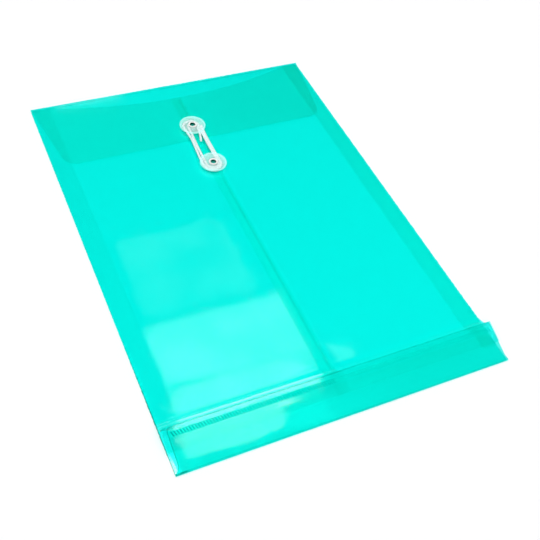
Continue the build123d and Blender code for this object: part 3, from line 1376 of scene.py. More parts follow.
@dataclass
class BackPanel(SubAssembly):
    """The two back films lapped at the seam, from the mouth to the ridge.

    Attributes:
        mouth_depth: How far the mouth's curve dips at the middle.
        mouth_spacing: Step along that curve.
        swell: How far the films stand up over the pocket.
        wave: Height of the waves in them.
        wave_length: Length of those waves.
        still_reach: Half width of the stretch at the seam that stays flat.
        still_fade: Width over which the swell then grows.
        ramp: Length over which it grows from the rise on.
        step_start: Where the right film begins to step down, off the seam.
        step_length: Length of that step.
        rise_spacing: Step of the mesh along the rise.
        weld_inset: Distance of the weld line from the lap's end.
        weld_pitch: Distance between weld marks.
        weld_length: Length of a mark.
        weld_width: Width of a mark.
        weld_height: Height of a mark.
        weld_lean: Degrees that a mark leans.
        weld_start: Distance of the first mark from the ridge.
        weld_end: Distance of the last mark from the mouth.
        button_clearance: Distance that the marks keep from the lower button's middle.
    """

    mouth_depth: float = 16.4 * MM
    mouth_spacing: float = 4.0 * MM
    swell: float = 0.12 * MM
    wave: float = 0.06 * MM
    wave_length: float = 45.0 * MM
    still_reach: float = 8.0 * MM
    still_fade: float = 17.0 * MM
    ramp: float = 25.0 * MM
    step_start: float = 3.0 * MM
    step_length: float = 14.0 * MM
    rise_spacing: float = 0.7 * MM
    weld_inset: float = 2.6 * MM
    weld_pitch: float = 1.75 * MM
    weld_length: float = 2.4 * MM
    weld_width: float = 0.7 * MM
    weld_height: float = 0.05 * MM
    weld_lean: float = 35.0
    weld_start: float = 3.0 * MM
    weld_end: float = 4.0 * MM
    button_clearance: float = 13.0 * MM

    def mouth(self, x: float) -> float:
        """Tells how far along the film its mouth edge lies.

        Args:
            x: Place across.

        Returns:
            Distance from the rise's start.
        """
        line, depth = SIZES.gusset_line, self.mouth_depth
        radius = (line * line + depth * depth) / (2.0 * depth)
        if abs(x) >= line:
            return SIZES.mouth_side - SIZES.rise_start
        cut = SIZES.mouth_side - depth + radius - math.sqrt(radius * radius - x * x)
        return cut - SIZES.rise_start

    def relief(self, x: float, along: float) -> float:
        """Tells how far the film swells, least at the sides, the seam and the rise.

        Args:
            x: Place across.
            along: Distance from the rise's start.

        Returns:
            Height over the flat film.
        """
        side = smooth((SIZES.half_width - abs(x)) / (SIZES.half_width - SIZES.gusset_line))
        centre = smooth((abs(x - SIZES.upper.x) - self.still_reach) / self.still_fade)
        wave = self.wave * ripple(x, along, self.wave_length, 1.0)
        return (self.swell + wave) * side * centre * smooth(along / self.ramp)

    def left_shape(self, x: float, along: float) -> Vector:
        """Shapes the left film, which the right one laps over."""
        place, drop = curled(x)
        return SIZES.back_point(place, along, self.relief(x, along) - drop)

    def right_shape(self, x: float, along: float) -> Vector:
        """Shapes the right film, which steps down from the lap to the gusset.

        Args:
            x: Place across.
            along: Distance from the rise's start.

        Returns:
            The middle of the film there.
        """
        place, drop = curled(x)
        away = smooth((x - SIZES.seam_right - self.step_start) / self.step_length)
        step = SIZES.lap_step * away * smooth(along / self.ramp)
        return SIZES.back_point(place, along, self.relief(x, along) + SIZES.lap_step - step - drop)

    def outline(self, side: Side) -> list[Point]:
        """Cuts one film.

        Args:
            side: The film's side.

        Returns:
            The flat outline, counter-clockwise.
        """
        wide, line = SIZES.half_width + CURL_LENGTH, SIZES.gusset_line
        left, right = side.span(wide)
        places = spread(max(left, -line), min(right, line), self.mouth_spacing)
        edge = [(x, self.mouth(x)) for x in reversed(places)]
        outer = (side.value * wide, SIZES.mouth_side - SIZES.rise_start)
        edge = [*edge, outer] if side is Side.LEFT else [outer, *edge]
        return [(left, -SIZES.rise_length), (right, -SIZES.rise_length), *edge]

    def rise_lines(self, side: Side) -> list[list[Point]]:
        """Draws the close lines of points that let one film curve up to the ridge.

        Args:
            side: The film's side.

        Returns:
            The lines, from the ridge on.
        """
        places = spread(*side.span(SIZES.half_width), LINE_SPACING)[1:-1]
        rows = spread(-SIZES.rise_length, 0.0, self.rise_spacing)[1:]
        return [[(x, along) for x in places] for along in rows]

    def build(self) -> None:
        """Builds both films and the seam's weld marks."""
        seat = Vector((SIZES.lower.x, SIZES.lower.y - SIZES.rise_start, 0.0))
        hole = circle(seat, SIZES.hole_radius, HOLE_STEPS)
        for side, shape in ((Side.LEFT, self.left_shape), (Side.RIGHT, self.right_shape)):
            lines = curl_lines(side.value, -SIZES.rise_length, SIZES.mouth_side - SIZES.rise_start)
            lines += self.rise_lines(side)
            sheet = FilmSheet(
                self.outline(side), shape, edge_width=ROLLED_EDGE, holes=[hole], lines=lines
            )
            nodes = (f"back_panel_{side.label}", f"back_rise_{side.label}")
            self.add(sheet.build(f"back_film_{side.label}"), PANEL, "back_panel", *nodes)
        self.build_weld()

    def build_weld(self) -> None:
        """Presses the weld marks into the seam, clear of the lower button."""
        places = []
        x, reach = SIZES.seam_right - self.weld_inset, 0.1 * MM
        low, high = -SIZES.rise_length + self.weld_start, self.mouth(0.0) - self.weld_end
        for along in spread(low, high, self.weld_pitch):
            middle = self.right_shape(x, along)
            ahead = self.right_shape(x, along + reach) - middle
            if (middle - SIZES.lower).length < self.button_clearance:
                continue
            up = Vector((1.0, 0.0, 0.0)).cross(ahead).normalized()
            places.append(rib_place(middle + up * SIZES.film / 2.0, up, ahead, self.weld_lean))
        marks = ribs("seam_weld", places, self.weld_length, self.weld_width, self.weld_height)
        self.add(marks, FAINT_WELD, "back_panel")


def rib_place(middle: Vector, up: Vector, along: Vector, lean: float) -> Matrix:
    """Frames a weld mark.

    Args:
        middle: Where the mark lies.
        up: The way off the film.
        along: The way of the weld line.
        lean: Degrees that the mark leans from straight across that line.

    Returns:
        The mark's own frame.
    """
    turn = Matrix.Rotation(math.radians(lean), 3, up)
    ahead = turn @ up.cross(along).normalized()
    frame_axes = Matrix((ahead, up.cross(ahead), up)).transposed()
    return Matrix.Translation(middle) @ frame_axes.to_4x4()


@dataclass
class BottomFlap(SubAssembly):
    """The flap folded up at the bottom, its crease, and the back's tails welded under it.

    Attributes:
        corner: Rounding of the upper corners.
        soft_corner: Rounding where the sides draw in.
        left_inset: How far the left side draws in.
        right_inset: How far the right side draws in.
        draw_in: Length over which they do.
        spacing: Step of the meshes.
        wave: Height of the puckers.
        wave_length: Length of the puckers.
        wave_fade: Length over which they begin and end.
        ridge_length: Length of film that goes over the ridge.
        ridge_spacing: Step of the mesh there.
        weld_drop: Distance of the weld line from the upper edge.
        weld_pitch: Distance between weld marks.
        weld_length: Length of a mark.
        weld_width: Width of a mark.
        weld_height: Height of a mark.
        weld_lean: Degrees that a mark leans.
        weld_flat: How far below its line the weld holds the film flat.
        weld_margin: Distance of the end marks from the sides.
    """

    corner: float = 3.0 * MM
    soft_corner: float = 1.5 * MM
    left_inset: float = 3.2 * MM
    right_inset: float = 1.0 * MM
    draw_in: float = 3.5 * MM
    spacing: float = 2.5 * MM
    wave: float = 0.06 * MM
    wave_length: float = 26.0 * MM
    wave_fade: float = 6.0 * MM
    ridge_length: float = 0.8 * MM
    ridge_spacing: float = 0.1 * MM
    weld_drop: float = 4.8 * MM
    weld_pitch: float = 2.0 * MM
    weld_length: float = 3.6 * MM
    weld_width: float = 1.0 * MM
    weld_height: float = 0.06 * MM
    weld_lean: float = 22.0
    weld_flat: float = 2.0 * MM
    weld_margin: float = 3.0 * MM

    @property
    def left(self) -> float:
        """Place across of the flap's left side."""
        return self.left_inset - SIZES.half_width

    @property
    def right(self) -> float:
        """Place across of the flap's right side."""
        return SIZES.half_width - self.right_inset

    def band_shape(self, x: float, along: float) -> Vector:
        """Slopes up, puckered a little between the crease and the weld.

        Args:
            x: Place across.
            along: Distance up the slope.

        Returns:
            The middle of the film there.
        """
        welded = SIZES.band_length - self.weld_drop - self.weld_flat
        free = smooth(along / self.wave_fade) * smooth((welded - along) / self.wave_fade)
        lift = free * self.wave * (0.6 + ripple(x, along * 2.0, self.wave_length, 7.0))
        return SIZES.band_point(x, along, lift)

    def crease_shape(self, x: float, along: float) -> Vector:
        """Bends from the front panel to the sloping flap.

        Args:
            x: Place across, turned round so that the film's outer face stays outside.
            along: Distance round the bend.

        Returns:
            The middle of the film there.
        """
        turn = -math.pi / 2.0 - along / SIZES.bottom_radius
        y = SIZES.bottom_crease + SIZES.bottom_radius * math.cos(turn)
        z = SIZES.bottom_radius + SIZES.film / 2.0 + SIZES.bottom_radius * math.sin(turn)
        return Vector((-x, y, z))

    def tail_shape(self, below: float) -> Shape:
        """Makes the shape of one tail.

        Args:
            below: How far the tail lies under the flap's film.

        Returns:
            The shape: up under the flap, over the ridge and on to the end of the rise.
        """
        flat = SIZES.band_length - SIZES.tail_start
        start = SIZES.band_point(0.0, SIZES.band_length, -below)
        end = SIZES.back_point(0.0, -SIZES.rise_length, 2.0 * SIZES.lap_step - below)
        climb = Vector((0.0, math.cos(SIZES.band_angle), math.sin(SIZES.band_angle)))
        fall = Vector((0.0, math.cos(SIZES.rise_turn), -math.sin(SIZES.rise_turn)))
        span = end - start
        reach = (span.y * fall.z - span.z * fall.y) / (climb.y * fall.z - climb.z * fall.y)
        peak = start + climb * reach

        def shape(x: float, along: float) -> Vector:
            """Follows the tail and then the ridge.

            Args:
                x: Place across.
                along: Distance from the tail's end.

            Returns:
                The middle of the film there.
            """
            if along <= flat:
                return SIZES.band_point(x, SIZES.tail_start + along, -below)
            t = (along - flat) / self.ridge_length
            over = start * (1 - t) ** 2 + peak * (2 * t * (1 - t)) + end * (t * t)
            return Vector((x, over.y, over.z))

        return shape

    def build(self) -> None:
        """Builds the flap, its crease, the tails and the weld marks."""
        self.build_flap()
        self.build_crease()
        self.build_tails()
        self.build_weld()

    def build_flap(self) -> None:
        """Builds the flap, drawn in at both sides."""
        half, length = SIZES.half_width, SIZES.band_length
        corners = [(-half, 0.0), (half, 0.0), (self.right, self.draw_in), (self.right, length)]
        corners += [(self.left, length), (self.left, self.draw_in)]
        radii = [0.0, 0.0, self.soft_corner, self.corner, self.corner, self.soft_corner]
        sheet = FilmSheet(rounded(corners, radii, 6), self.band_shape, self.spacing)
        self.add(sheet.build("bottom_film"), BAND, "bottom_flap", "bottom_flap")

    def build_crease(self) -> None:
        """Builds the bent film between the front panel and the flap."""
        turn = SIZES.bottom_radius * (math.pi - SIZES.band_angle)
        across = spread(-SIZES.half_width, SIZES.half_width, self.spacing)
        along = spread(0.0, turn, CREASE_SPACING)
        crease = film_strip("bottom_crease", self.crease_shape, across, along)
        low = Vector((0.0, SIZES.bottom_crease, SIZES.front_level))
        high = SIZES.band_point(0.0, 0.0, 0.0)
        span = (low, Vector((0.0, low.y, high.z)))
        self.bend(crease, CREASE, ("front_panel", "bottom_flap"), span, "bottom_fold")

    def build_tails(self) -> None:
        """Builds the ends of the back films, which go over the ridge and under the flap."""
        tail = SIZES.band_length - SIZES.tail_start
        over = spread(tail, tail + self.ridge_length, self.ridge_spacing)
        along = spread(0.0, tail, self.spacing) + over[1:]
        for side, layer in ((Side.LEFT, 2.0), (Side.RIGHT, 1.0)):
            shape = self.tail_shape(layer * SIZES.lap_step)
            across = spread(*side.span(SIZES.half_width), self.spacing)
            film = film_strip(f"tail_film_{side.label}", shape, across, along)
            span = (shape(0.0, tail), shape(0.0, tail + self.ridge_length))
            self.bend(film, TAIL, ("bottom_flap", "back_panel"), span, f"tail_{side.label}")

    def build_weld(self) -> None:
        """Presses the weld marks, deep on the left of the seam and faint on its right."""
        up = (SIZES.band_point(0.0, 0.0, 1.0) - SIZES.band_point(0.0, 0.0, 0.0)).normalized()
        seam, along = SIZES.seam_left, SIZES.band_length - self.weld_drop
        spans = {
            "left": (self.left + self.weld_margin, seam, WELD),
            "right": (seam + self.weld_pitch, self.right - self.weld_margin, FAINT_WELD),
        }
        mark = (self.weld_length, self.weld_width, self.weld_height)
        for name, (start, end, finish) in spans.items():
            places = []
            for x in spread(start, end, self.weld_pitch):
                middle = self.band_shape(x, along) + up * SIZES.film / 2.0
                places.append(rib_place(middle, up, Vector((1.0, 0.0, 0.0)), self.weld_lean))
            self.add(ribs(f"bottom_weld_{name}", places, *mark), finish, "bottom_flap")


@dataclass
class Gusset(SubAssembly):
    """One side's strips, folded inwards, and the foot that closes the bottom corner.

    Attributes:
        side: The side of the envelope.
        gap: How far the foot lies under the bottom flap's film.
        fold_share: Share of a strip that the foot's rounded fold takes up.
        strip_spacing: Step of the strips' meshes across.
        row_spacing: Step of the strips' meshes along.
        flare_step: Step along their flared ends, as an angle.
        foot_spacing: Step of the foot's mesh round its fold.
        foot_row_spacing: Step of the foot's mesh along.
    """

    side: Side = Side.LEFT
    gap: float = 0.85 * MM
    fold_share: float = 0.12
    strip_spacing: float = 2.5 * MM
    row_spacing: float = 6.0 * MM
    flare_step: float = 0.06
    foot_spacing: float = 0.6 * MM
    foot_row_spacing: float = 2.0 * MM

    @property
    def depth(self) -> float:
        """Width of one strip."""
        return SIZES.half_width - SIZES.gusset_line

    @property
    def flare_radius(self) -> float:
        """Radius of the curve that the strips' upper crease climbs on."""
        return SIZES.rise_radius + SIZES.left_level - SIZES.strip_high

    def crown(self, y: float) -> float:
        """Tells how high the strips' upper outer crease lies.

        Args:
            y: Place along.

        Returns:
            The height of the film's middle there.
        """
        if y >= SIZES.rise_start:
            return SIZES.strip_high
        if y >= SIZES.foot_near:
            reach = self.flare_radius
            return SIZES.strip_high + reach - math.sqrt(reach**2 - (SIZES.rise_start - y) ** 2)
        foot = SIZES.band_point(0.0, 0.0, -self.gap)
        return foot.z + (y - foot.y) * math.tan(SIZES.band_angle)

    def fold(self, y: float) -> Point:
        """Tells where the inner fold lies.

        Args:
            y: Place along.

        Returns:
            Distance from the centre line, and height.
        """
        half = (self.crown(y) - SIZES.strip_low) / 2.0
        inset = math.sqrt(self.depth**2 - half * half)
        return SIZES.half_width - inset, SIZES.strip_low + half

    def strip_shape(self, upper: bool) -> Shape:
        """Makes the shape of one strip.

        Args:
            upper: True for the strip above the inner fold, False for the one below.

        Returns:
            The shape.
        """

        def shape(along: float, y: float) -> Vector:
            """Goes from the outer crease to the inner fold.

            Args:
                along: Distance from the outer crease.
                y: Place along the envelope.

            Returns:
                The middle of the film there.
            """
            inner, level = self.fold(y)
            edge = self.crown(y) if upper else SIZES.strip_low
            parted = (SIZES.strip_high - SIZES.strip_low) / 2.0
            level += parted if upper else -parted
            t = along / self.depth
            x = SIZES.half_width + (inner - SIZES.half_width) * t
            return Vector((self.side.value * x, y, edge + (level - edge) * t))

        return shape

    def foot_shape(self, along: float, y: float) -> Vector:
        """Makes a V on its side, rounded at the fold, under the bottom flap.

        Args:
            along: Distance from the lower outer crease.
            y: Place along the envelope.

        Returns:
            The middle of the film there.
        """
        inner, level = self.fold(y)
        start = Vector((SIZES.half_width, SIZES.strip_low))
        end = Vector((SIZES.half_width, self.crown(y)))
        tip = Vector((inner, level))
        t, bend = along / self.depth, self.fold_share
        if t < 1.0 - bend:
            at = start.lerp(tip, t)
        elif t > 1.0 + bend:
            at = tip.lerp(end, t - 1.0)
        else:
            w = (t - 1.0 + bend) / (2.0 * bend)
            first, last = start.lerp(tip, 1.0 - bend), tip.lerp(end, bend)
            at = first * (1 - w) ** 2 + tip * 2 * w * (1 - w) + last * w * w
        return Vector((self.side.value * at.x, y, at.y))

    def build(self) -> None:
        """Builds both strips and the foot."""
        label = self.side.label
        turn = math.asin((SIZES.rise_start - SIZES.foot_near) / self.flare_radius)
        angles = spread(-turn, 0.0, self.flare_step)
        rows = [SIZES.rise_start + self.flare_radius * math.sin(angle) for angle in angles]
        rows += spread(SIZES.rise_start, SIZES.mouth_side, self.row_spacing)[1:]
        across = spread(0.0, self.depth, self.strip_spacing)
        for layer, upper in (("front", False), ("back", True)):
            node = f"{label}_gusset_{layer}"
            film = film_strip(f"{node}_film", self.strip_shape(upper), across, rows)
            self.add(film, GUSSETS[self.side], node, node, f"{node}_flare")
        places = spread(0.0, 2.0 * self.depth, self.foot_spacing)
        rows = spread(SIZES.foot_far, SIZES.foot_near, self.foot_row_spacing)
        foot = film_strip(f"{label}_foot_film", self.foot_shape, places, rows)
        x = self.side.value * SIZES.half_width
        low = Vector((x, SIZES.foot_near, SIZES.strip_low))
        high = Vector((x, SIZES.foot_near, self.crown(SIZES.foot_near)))
        bodies = ("front_panel", "bottom_flap")
        self.bend(foot, GUSSETS[self.side], bodies, (low, high), f"{label}_gusset_foot")


@dataclass
class Disc(SubAssembly):
    """A frosted button disc with a raised rim, standing on a hub."""

    slot: ClassVar[str] = "disc"
    place: str = "upper"
    rim_width: float = 1.6 * MM
    rim_height: float = 0.25 * MM
    rim_slope: float = 0.3 * MM
    collar_foot: float = 2.6 * MM
    collar_top: float = 2.3 * MM
    collar_height: float = 0.1 * MM
    hub_radius: float = 3.0 * MM
    tube_gap: float = 0.1 * MM
    bore_gap: float = 0.08 * MM
    thickness: float = 0.8 * MM
    edge: float = 0.08 * MM
    hub_fillet: float = 0.15 * MM
    under_round: float = 0.28 * MM
    rim_round: float = 0.35 * MM
    lip_round: float = 0.25 * MM
    lip_fillet: float = 0.2 * MM

    def build(self) -> None:
        """Turns the disc."""
        low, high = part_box(f"{self.place}_disc")
        radius = (high.x - low.x) / 2.0
        bore = SIZES.hole_radius - self.tube_gap + self.bore_gap
        plate = high.z - self.rim_height
        under, inner = plate - self.thickness, radius - self.rim_width
        collar = plate + self.collar_height
        corners = [
            (bore, low.z, self.edge),
            (self.hub_radius, low.z, self.edge),
            (self.hub_radius, under, self.hub_fillet),
            (radius, under, self.under_round),
            (radius, high.z, self.rim_round),
            (inner + self.rim_slope, high.z, self.lip_round),
            (inner, plate, self.lip_fillet),
            (bore + self.collar_foot, plate, self.edge),
            (bore + self.collar_top, collar, self.edge),
            (bore, collar, self.edge),
        ]
        piece = lathe(f"{self.place}_button", corners, 4, (low + high) / 2.0, 96)
        self.add(piece, DiscFinish("frosted_disc"), f"{self.place}_disc", f"{self.place}_disc")


@dataclass
class Eyelet(SubAssembly):
    """A rolled metal eyelet that rivets a disc to the film."""

    slot: ClassVar[str] = "eyelet"
    place: str = "upper"
    body: str = "flap"
    bore_radius: float = 2.25 * MM
    wall: float = 0.3 * MM
    flange_height: float = 0.4 * MM
    curl_height: float = 0.3 * MM
    curl_inset: float = 0.2 * MM
    fillet: float = 0.05 * MM
    under_round: float = 0.12 * MM
    curl_round: float = 0.14 * MM
    foot_round: float = 0.22 * MM
    flange_round: float = 0.3 * MM
    mouth_round: float = 0.38 * MM

    def build(self) -> None:
        """Turns the eyelet."""
        low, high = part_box(f"{self.place}_eyelet")
        flange = (high.x - low.x) / 2.0
        bore, tube = self.bore_radius, self.bore_radius + self.wall
        lip, curl = high.z - self.flange_height, low.z + self.curl_height
        foot = flange - self.curl_inset
        corners = [
            (bore, low.z, self.foot_round),
            (foot, low.z, self.curl_round),
            (foot, curl, self.under_round),
            (tube, curl, self.fillet),
            (tube, lip, self.fillet),
            (flange, lip, self.under_round),
            (flange, high.z, self.flange_round),
            (bore, high.z, self.mouth_round),
        ]
        piece = lathe(f"{self.place}_rivet", corners, 6, (low + high) / 2.0, 72)
        self.add(piece, EyeletFinish("lacquered_eyelet"), self.body, f"{self.place}_eyelet")


@dataclass
class TieString(SubAssembly):
    """The twisted string, wound round both hubs under the discs.

    Attributes:
        diameter: The string's own diameter.
        upper_reach: How far out the turns pass the upper hub, from the loose end inwards.
        lower_reach: How far out they pass the lower hub.
        strands: Points of the free strands in order, in millimetres from the upper hub.
        start_drop: How far below the upper hub's middle the string starts.
        lay_length: Length of one twist.
        lobe: Half the depth of the grooves between the twisted yarns, as a share of the radius.
        swell: Diameter with the fluff, as a multiple of the string's own.
        facets: Facets round the section.
        spacing: Step along the string.
        tip_share: Radius at the very ends, as a share of the rest.
        tip_step: How much each step from there adds to that share.
    """

    slot: ClassVar[str] = "string"
    diameter: float = 1.8 * MM
    upper_reach: tuple[float, ...] = (3.9 * MM, 3.8 * MM, 5.7 * MM, 7.9 * MM, 7.5 * MM)
    lower_reach: tuple[float, ...] = (5.7 * MM, 4.5 * MM, 8.1 * MM, 6.4 * MM)
    strands: tuple[tuple[Point, ...], ...] = (
        ((6.6, -10.4), (6.3, -25.0), (6.3, -38.0)),
        ((-8.1, -38.6), (-6.95, -24.3), (-6.15, -13.0)),
        ((4.75, -11.2), (4.5, -22.0), (4.5, -36.5)),
        ((-5.5, -37.5), (-4.95, -23.0), (-4.2, -11.0)),
        ((3.4, -6.0), (2.6, -10.7), (1.7, -15.0), (0.3, -19.8)),
    )
    start_drop: float = 1.0 * MM
    lay_length: float = 4.2 * MM
    lobe: float = 0.06
    swell: float = 1.14
    facets: int = 18
    spacing: float = 0.3 * MM
    tip_share: float = 0.72
    tip_step: float = 0.12

    def half_turn(self, centre: Vector, start: float, end: float, up: bool) -> list[Vector]:
        """Points of half a turn round a hub.

        Args:
            centre: The hub.
            start: Place across where the half turn begins, from the hub.
            end: Place across where it ends.
            up: True if it goes over the side towards the flap's crease.

        Returns:
            The points, ten to the half turn.
        """
        middle, radius = (start + end) / 2.0, abs(end - start) / 2.0
        found = []
        for step in range(11):
            angle = math.pi * step / 10.0
            across = middle + (start - middle) * math.cos(angle)
            rise = radius * math.sin(angle) * (1.0 if up else -1.0)
            found.append(Vector((centre.x + across, centre.y + rise, self.level)))
        return found

    @property
    def level(self) -> float:
        """Height of the string's middle."""
        low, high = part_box("tie_string")
        return (low.z + high.z) / 2.0

    def route(self) -> list[Vector]:
        """Control points from under the upper disc to the loose end.

        Returns:
            The points of the string's middle line.
        """
        over, under = self.upper_reach, self.lower_reach
        upper, lower = SIZES.upper, SIZES.lower
        turns = [
            self.half_turn(lower, under[3], -under[2], False),
            self.half_turn(upper, -over[3], over[2], True),
            self.half_turn(lower, under[1], -under[0], False),
            self.half_turn(upper, -over[1], over[0], True),
            [],
        ]
        points = [Vector((upper.x + over[4], upper.y - self.start_drop, self.level))]
        for strand, turn in zip(self.strands, turns):
            points += [Vector((upper.x + x * MM, upper.y + y * MM, self.level)) for x, y in strand]
            points += turn
        return points

    def spline(self) -> list[Vector]:
        """Reads even points from the route's spline.

        Returns:
            Points along the string's middle line.
        """
        data = bpy.data.curves.new("string_route", "CURVE")
        data.dimensions = "3D"
        data.resolution_u = 24
        route = self.route()
        line = data.splines.new("NURBS")
        line.points.add(len(route) - 1)
        for point, place in zip(line.points, route):
            point.co = (*place, 1.0)
        line.order_u = 3
        line.use_endpoint_u = True
        guide = bpy.data.objects.new("string_route", data)
        mesh = bpy.data.meshes.new_from_object(guide)
        read = [vert.co.copy() for vert in mesh.vertices]
        bpy.data.meshes.remove(mesh)
        bpy.data.objects.remove(guide)
        bpy.data.curves.remove(data)
        return read

    def even(self, points: Sequence[Vector]) -> list[Vector]:
        """Puts points at even steps along a line of points.

        Args:
            points: The line.

        Returns:
            The even points.
        """
        lengths = [0.0]
        for a, b in zip(points, points[1:]):
            lengths.append(lengths[-1] + (b - a).length)
        places = spread(0.0, lengths[-1], self.spacing)
        axes = [np.interp(places, lengths, [point[axis] for point in points]) for axis in range(3)]
        return [Vector(values) for values in zip(*axes)]

    def build(self) -> None:
        """Winds the string along its route."""
        line = self.even(self.spline())
        piece = self.sweep(line)
        self.add(piece, StringFinish("white_string"), "flap", "tie_string")

    def sweep(self, line: Sequence[Vector]) -> bpy.types.Object:
        """Sweeps a three-lobed section along a line and twists it on the way.

        Args:
            line: The string's middle line.

        Returns:
            The string, closed at both ends.
        """
        around, radius = self.facets, self.swell * self.diameter / 2.0
        points, faces = [], []
        travelled = 0.0
        for i, middle in enumerate(line):
            ahead = (line[min(i + 1, len(line) - 1)] - line[max(i - 1, 0)]).normalized()
            side = ahead.cross(Vector((0.0, 0.0, 1.0))).normalized()
            up = side.cross(ahead)
            if i:
                travelled += (middle - line[i - 1]).length
            twist = 2.0 * math.pi * travelled / self.lay_length
            end = min(i, len(line) - 1 - i)
            taper = 1.0 if end > 2 else self.tip_share + self.tip_step * end
            for step in range(around):
                angle = 2.0 * math.pi * step / around
                lobed = 1.0 - self.lobe + self.lobe * math.cos(3.0 * (angle - twist))
                reach = radius * taper * lobed
                points.append(middle + (side * math.cos(angle) + up * math.sin(angle)) * reach)
        for i in range(len(line) - 1):
            for step in range(around):
                after = (step + 1) % around
                here, there = i * around, (i + 1) * around
                faces.append([here + step, there + step, there + after, here + after])
        faces.append(list(range(around)))
        faces.append([len(points) - 1 - i for i in range(around)])
        return new_object("wound_string", points, faces)


@dataclass(frozen=True)
class CardFinish(Finish):
    """A mottled glow that frays out towards the edges of a card."""

    strength: float = 1.0
    mottle: float = 0.0
    fray: float = 0.0
    soft_edge: ClassVar[float] = 0.06
    fray_gain: ClassVar[float] = 4.0

    def surface(self, graph: Graph) -> Socket:
        """Builds the glow.

        Args:
            graph: The shader's graph.

        Returns:
            The finished shader.
        """
        inner = 1.0
        for name in ("X", "Y"):
            share = graph.axis(name, "Generated")
            inner = share.least(1.0 - share).step(0.0, self.soft_edge + self.fray) * inner
        grain = graph.noise(22.0, 4.0).step(0.30, 0.70)
        cloud = graph.noise(9.0, 2.0).step(0.35, 0.65)
        torn = self.fray * self.fray_gain
        lit = (inner * (1.0 + torn) - grain * torn).step(0.0, 0.5)
        lit = lit * (1.0 - self.mottle * cloud)
        colour = graph.mix_colour(lit, rgba(BLACK), rgba(WHITE))
        return graph.node("ShaderNodeEmission", None, {"Color": colour, "Strength": self.strength})


@dataclass(frozen=True)
class FloorFinish(Finish):
    """Plain matt paint."""

    colour: Colour = (0.95, 0.95, 0.95)

    def surface(self, graph: Graph) -> Socket:
        """Builds the paint."""
        return graph.principled(
            {"Base Color": rgba(self.colour), "Roughness": 0.9, "Specular IOR Level": 0.0}
        )


@dataclass(frozen=True)
class SoftBox:
    """A flat studio card that only shows in reflections."""

    name: str
    centre: Vector
    across: Vector
    along: Vector
    strength: float
    mottle: float = 0.0
    fray: float = 0.0

    def build(self) -> None:
        """Builds the glowing card."""
        corners = [(-0.5, -0.5), (-0.5, 0.5), (0.5, 0.5), (0.5, -0.5)]
        points = [self.centre + self.across * x + self.along * y for x, y in corners]
        card = new_object(self.name, points, [[0, 1, 2, 3]])
        finish = CardFinish(self.name, self.strength, self.mottle, self.fray)
        card.data.materials.append(finish.material())
        card.visible_camera = False
        card.visible_diffuse = False
        card.visible_shadow = False


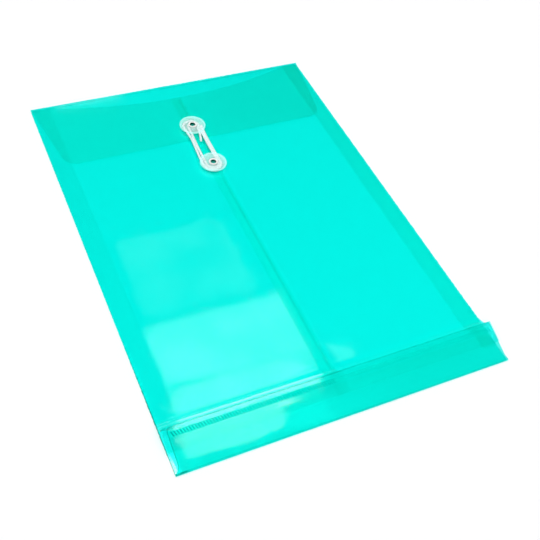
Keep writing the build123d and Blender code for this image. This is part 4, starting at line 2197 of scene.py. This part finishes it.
@dataclass(frozen=True)
class Studio:
    """Floor, backdrop light, lamp, cards and the camera at the photograph's place."""

    camera_place: Vector = Vector((-0.21445, -0.38799, 0.47038))
    camera_right: Vector = Vector((0.90656917, -0.4064861, 0.11358427))
    camera_up: Vector = Vector((0.24645069, 0.7283137, 0.63939129))
    lens: float = 55.143
    floor_half: float = 4.0
    floor_level: float = -0.1 * MM
    ceiling: Colour = (0.03, 0.03, 0.03)
    horizon: Colour = WHITE
    horizon_fade: Point = (0.14, 0.24)
    sun_strength: float = 3.3
    sun_spread: float = math.radians(75.0)
    sun_turn: tuple[float, float, float] = (math.radians(14.0), math.radians(-10.0), 0.0)
    card_level: float = 0.80
    far_card_place: Point = (1.46, 5.0)
    far_card_width: float = 1.15
    clear_bounces: int = 48
    bounces: int = 16

    def build(self) -> None:
        """Builds the whole studio."""
        self.build_floor()
        self.build_world()
        self.build_sun()
        for card in [*self.near_cards(), *self.far_cards()]:
            card.build()
        self.build_camera()
        scene = bpy.context.scene
        scene.view_settings.view_transform = "Standard"
        scene.cycles.transparent_max_bounces = self.clear_bounces
        scene.cycles.max_bounces = self.bounces

    def build_floor(self) -> None:
        """Lays a plain pale floor under the envelope."""
        half, signs = self.floor_half, ((-1, -1), (1, -1), (1, 1), (-1, 1))
        corners = [Vector((x * half, y * half, self.floor_level)) for x, y in signs]
        floor = new_object("floor", corners, [[0, 1, 2, 3]])
        floor.data.materials.append(FloorFinish("floor").material())

    def build_world(self) -> None:
        """Makes a pale horizon under a dim ceiling."""
        world = bpy.data.worlds.new("studio")
        bpy.context.scene.world = world
        world.use_nodes = True
        graph = Graph(world.node_tree)
        at = graph.node("ShaderNodeTexCoord", output="Generated")
        height = graph.node("ShaderNodeSeparateXYZ", None, {0: at}, "Z")
        up = height.step(*self.horizon_fade)
        glow = graph.mix_colour(up, rgba(self.horizon), rgba(self.ceiling))
        light = graph.node("ShaderNodeBackground", None, {"Color": glow})
        graph.node("ShaderNodeOutputWorld", None, {"Surface": light})

    def build_sun(self) -> None:
        """Hangs one broad soft lamp."""
        lamp = bpy.data.lights.new("soft_sun", "SUN")
        lamp.energy = self.sun_strength
        lamp.angle = self.sun_spread
        sun = bpy.data.objects.new("soft_sun", lamp)
        sun.rotation_euler = self.sun_turn
        sun.visible_glossy = False
        bpy.context.scene.collection.objects.link(sun)

    def near_cards(self) -> list[SoftBox]:
        """Lists the cards that hang flat over the envelope.

        Returns:
            The cards, each given below by its place, size, strength, mottle and fray.
        """
        flat = {
            "main_card": ((0.210, 0.3685), (0.295, 0.225), 2.8, 0.4, 0.0),
            "ridge_card": ((0.203, 0.250), (0.365, 0.17), 3.8, 0.2, 0.25),
            "faint_card": ((0.2075, 0.595), (0.285, 0.24), 0.6, 0.7, 0.12),
            "patch_card": ((0.408, 0.312), (0.05, 0.06), 1.8, 0.4, 0.2),
            "near_card": ((0.127, -0.2935), (0.197, 0.061), 3.0, 0.2, 0.10),
            "brink_card": ((0.165, -0.258), (0.27, 0.016), 9.0, 0.3, 0.0),
            "crease_card": ((0.165, 1.140), (0.17, 0.013), 2.2, 0.3, 0.0),
            "corner_card": ((0.0135, 0.205), (0.053, 0.11), 6.0, 0.0, 0.0),
        }
        cards = []
        for name, (place, (wide, long), strength, mottle, fray) in flat.items():
            centre = Vector((*place, self.card_level))
            across, along = Vector((wide, 0.0, 0.0)), Vector((0.0, long, 0.0))
            cards.append(SoftBox(name, centre, across, along, strength, mottle, fray))
        return cards

    def far_cards(self) -> list[SoftBox]:
        """Lists the cards that stand behind the envelope.

        Returns:
            The cards, each given below by its height over the floor, size and strength.
        """
        cards = []
        across = Vector((self.far_card_width, 0.0, 0.0))
        for name, height, tall, strength in (
            ("low_card", 0.75, 1.3, 6.0),
            ("high_card", 3.0, 0.5, 4.0),
        ):
            centre, along = Vector((*self.far_card_place, height)), Vector((0.0, 0.0, tall))
            cards.append(SoftBox(name, centre, across, along, strength))
        return cards

    def build_camera(self) -> None:
        """Puts the camera where the photograph was taken from."""
        data = bpy.data.cameras.new("camera")
        data.lens = self.lens
        data.sensor_width = 36.0
        data.clip_start = 0.01
        camera = bpy.data.objects.new("camera", data)
        back = self.camera_right.cross(self.camera_up)
        axes = Matrix((self.camera_right, self.camera_up, back)).transposed().to_4x4()
        camera.matrix_world = Matrix.Translation(self.camera_place) @ axes
        bpy.context.scene.collection.objects.link(camera)
        bpy.context.scene.camera = camera


def main() -> None:
    """Builds and dresses the envelope, then the studio."""
    logging.basicConfig(level=logging.INFO, format="%(message)s")
    parts: list[SubAssembly] = [
        FrontPanel(),
        ClosingFlap(),
        BackPanel(),
        BottomFlap(),
        Gusset(side=Side.LEFT),
        Gusset(side=Side.RIGHT),
        Disc(place="upper"),
        Disc(place="lower"),
        Eyelet(place="upper", body="flap"),
        Eyelet(place="lower", body="back_panel"),
        TieString(),
    ]
    for part in parts:
        part.build()
        part.dress()
        for piece, finish in part.pieces:
            log.info("%s: %d faces, %s", piece.name, len(piece.data.polygons), finish.name)
    Studio().build()
    bpy.context.view_layer.update()


if __name__ == "__main__":
    main()
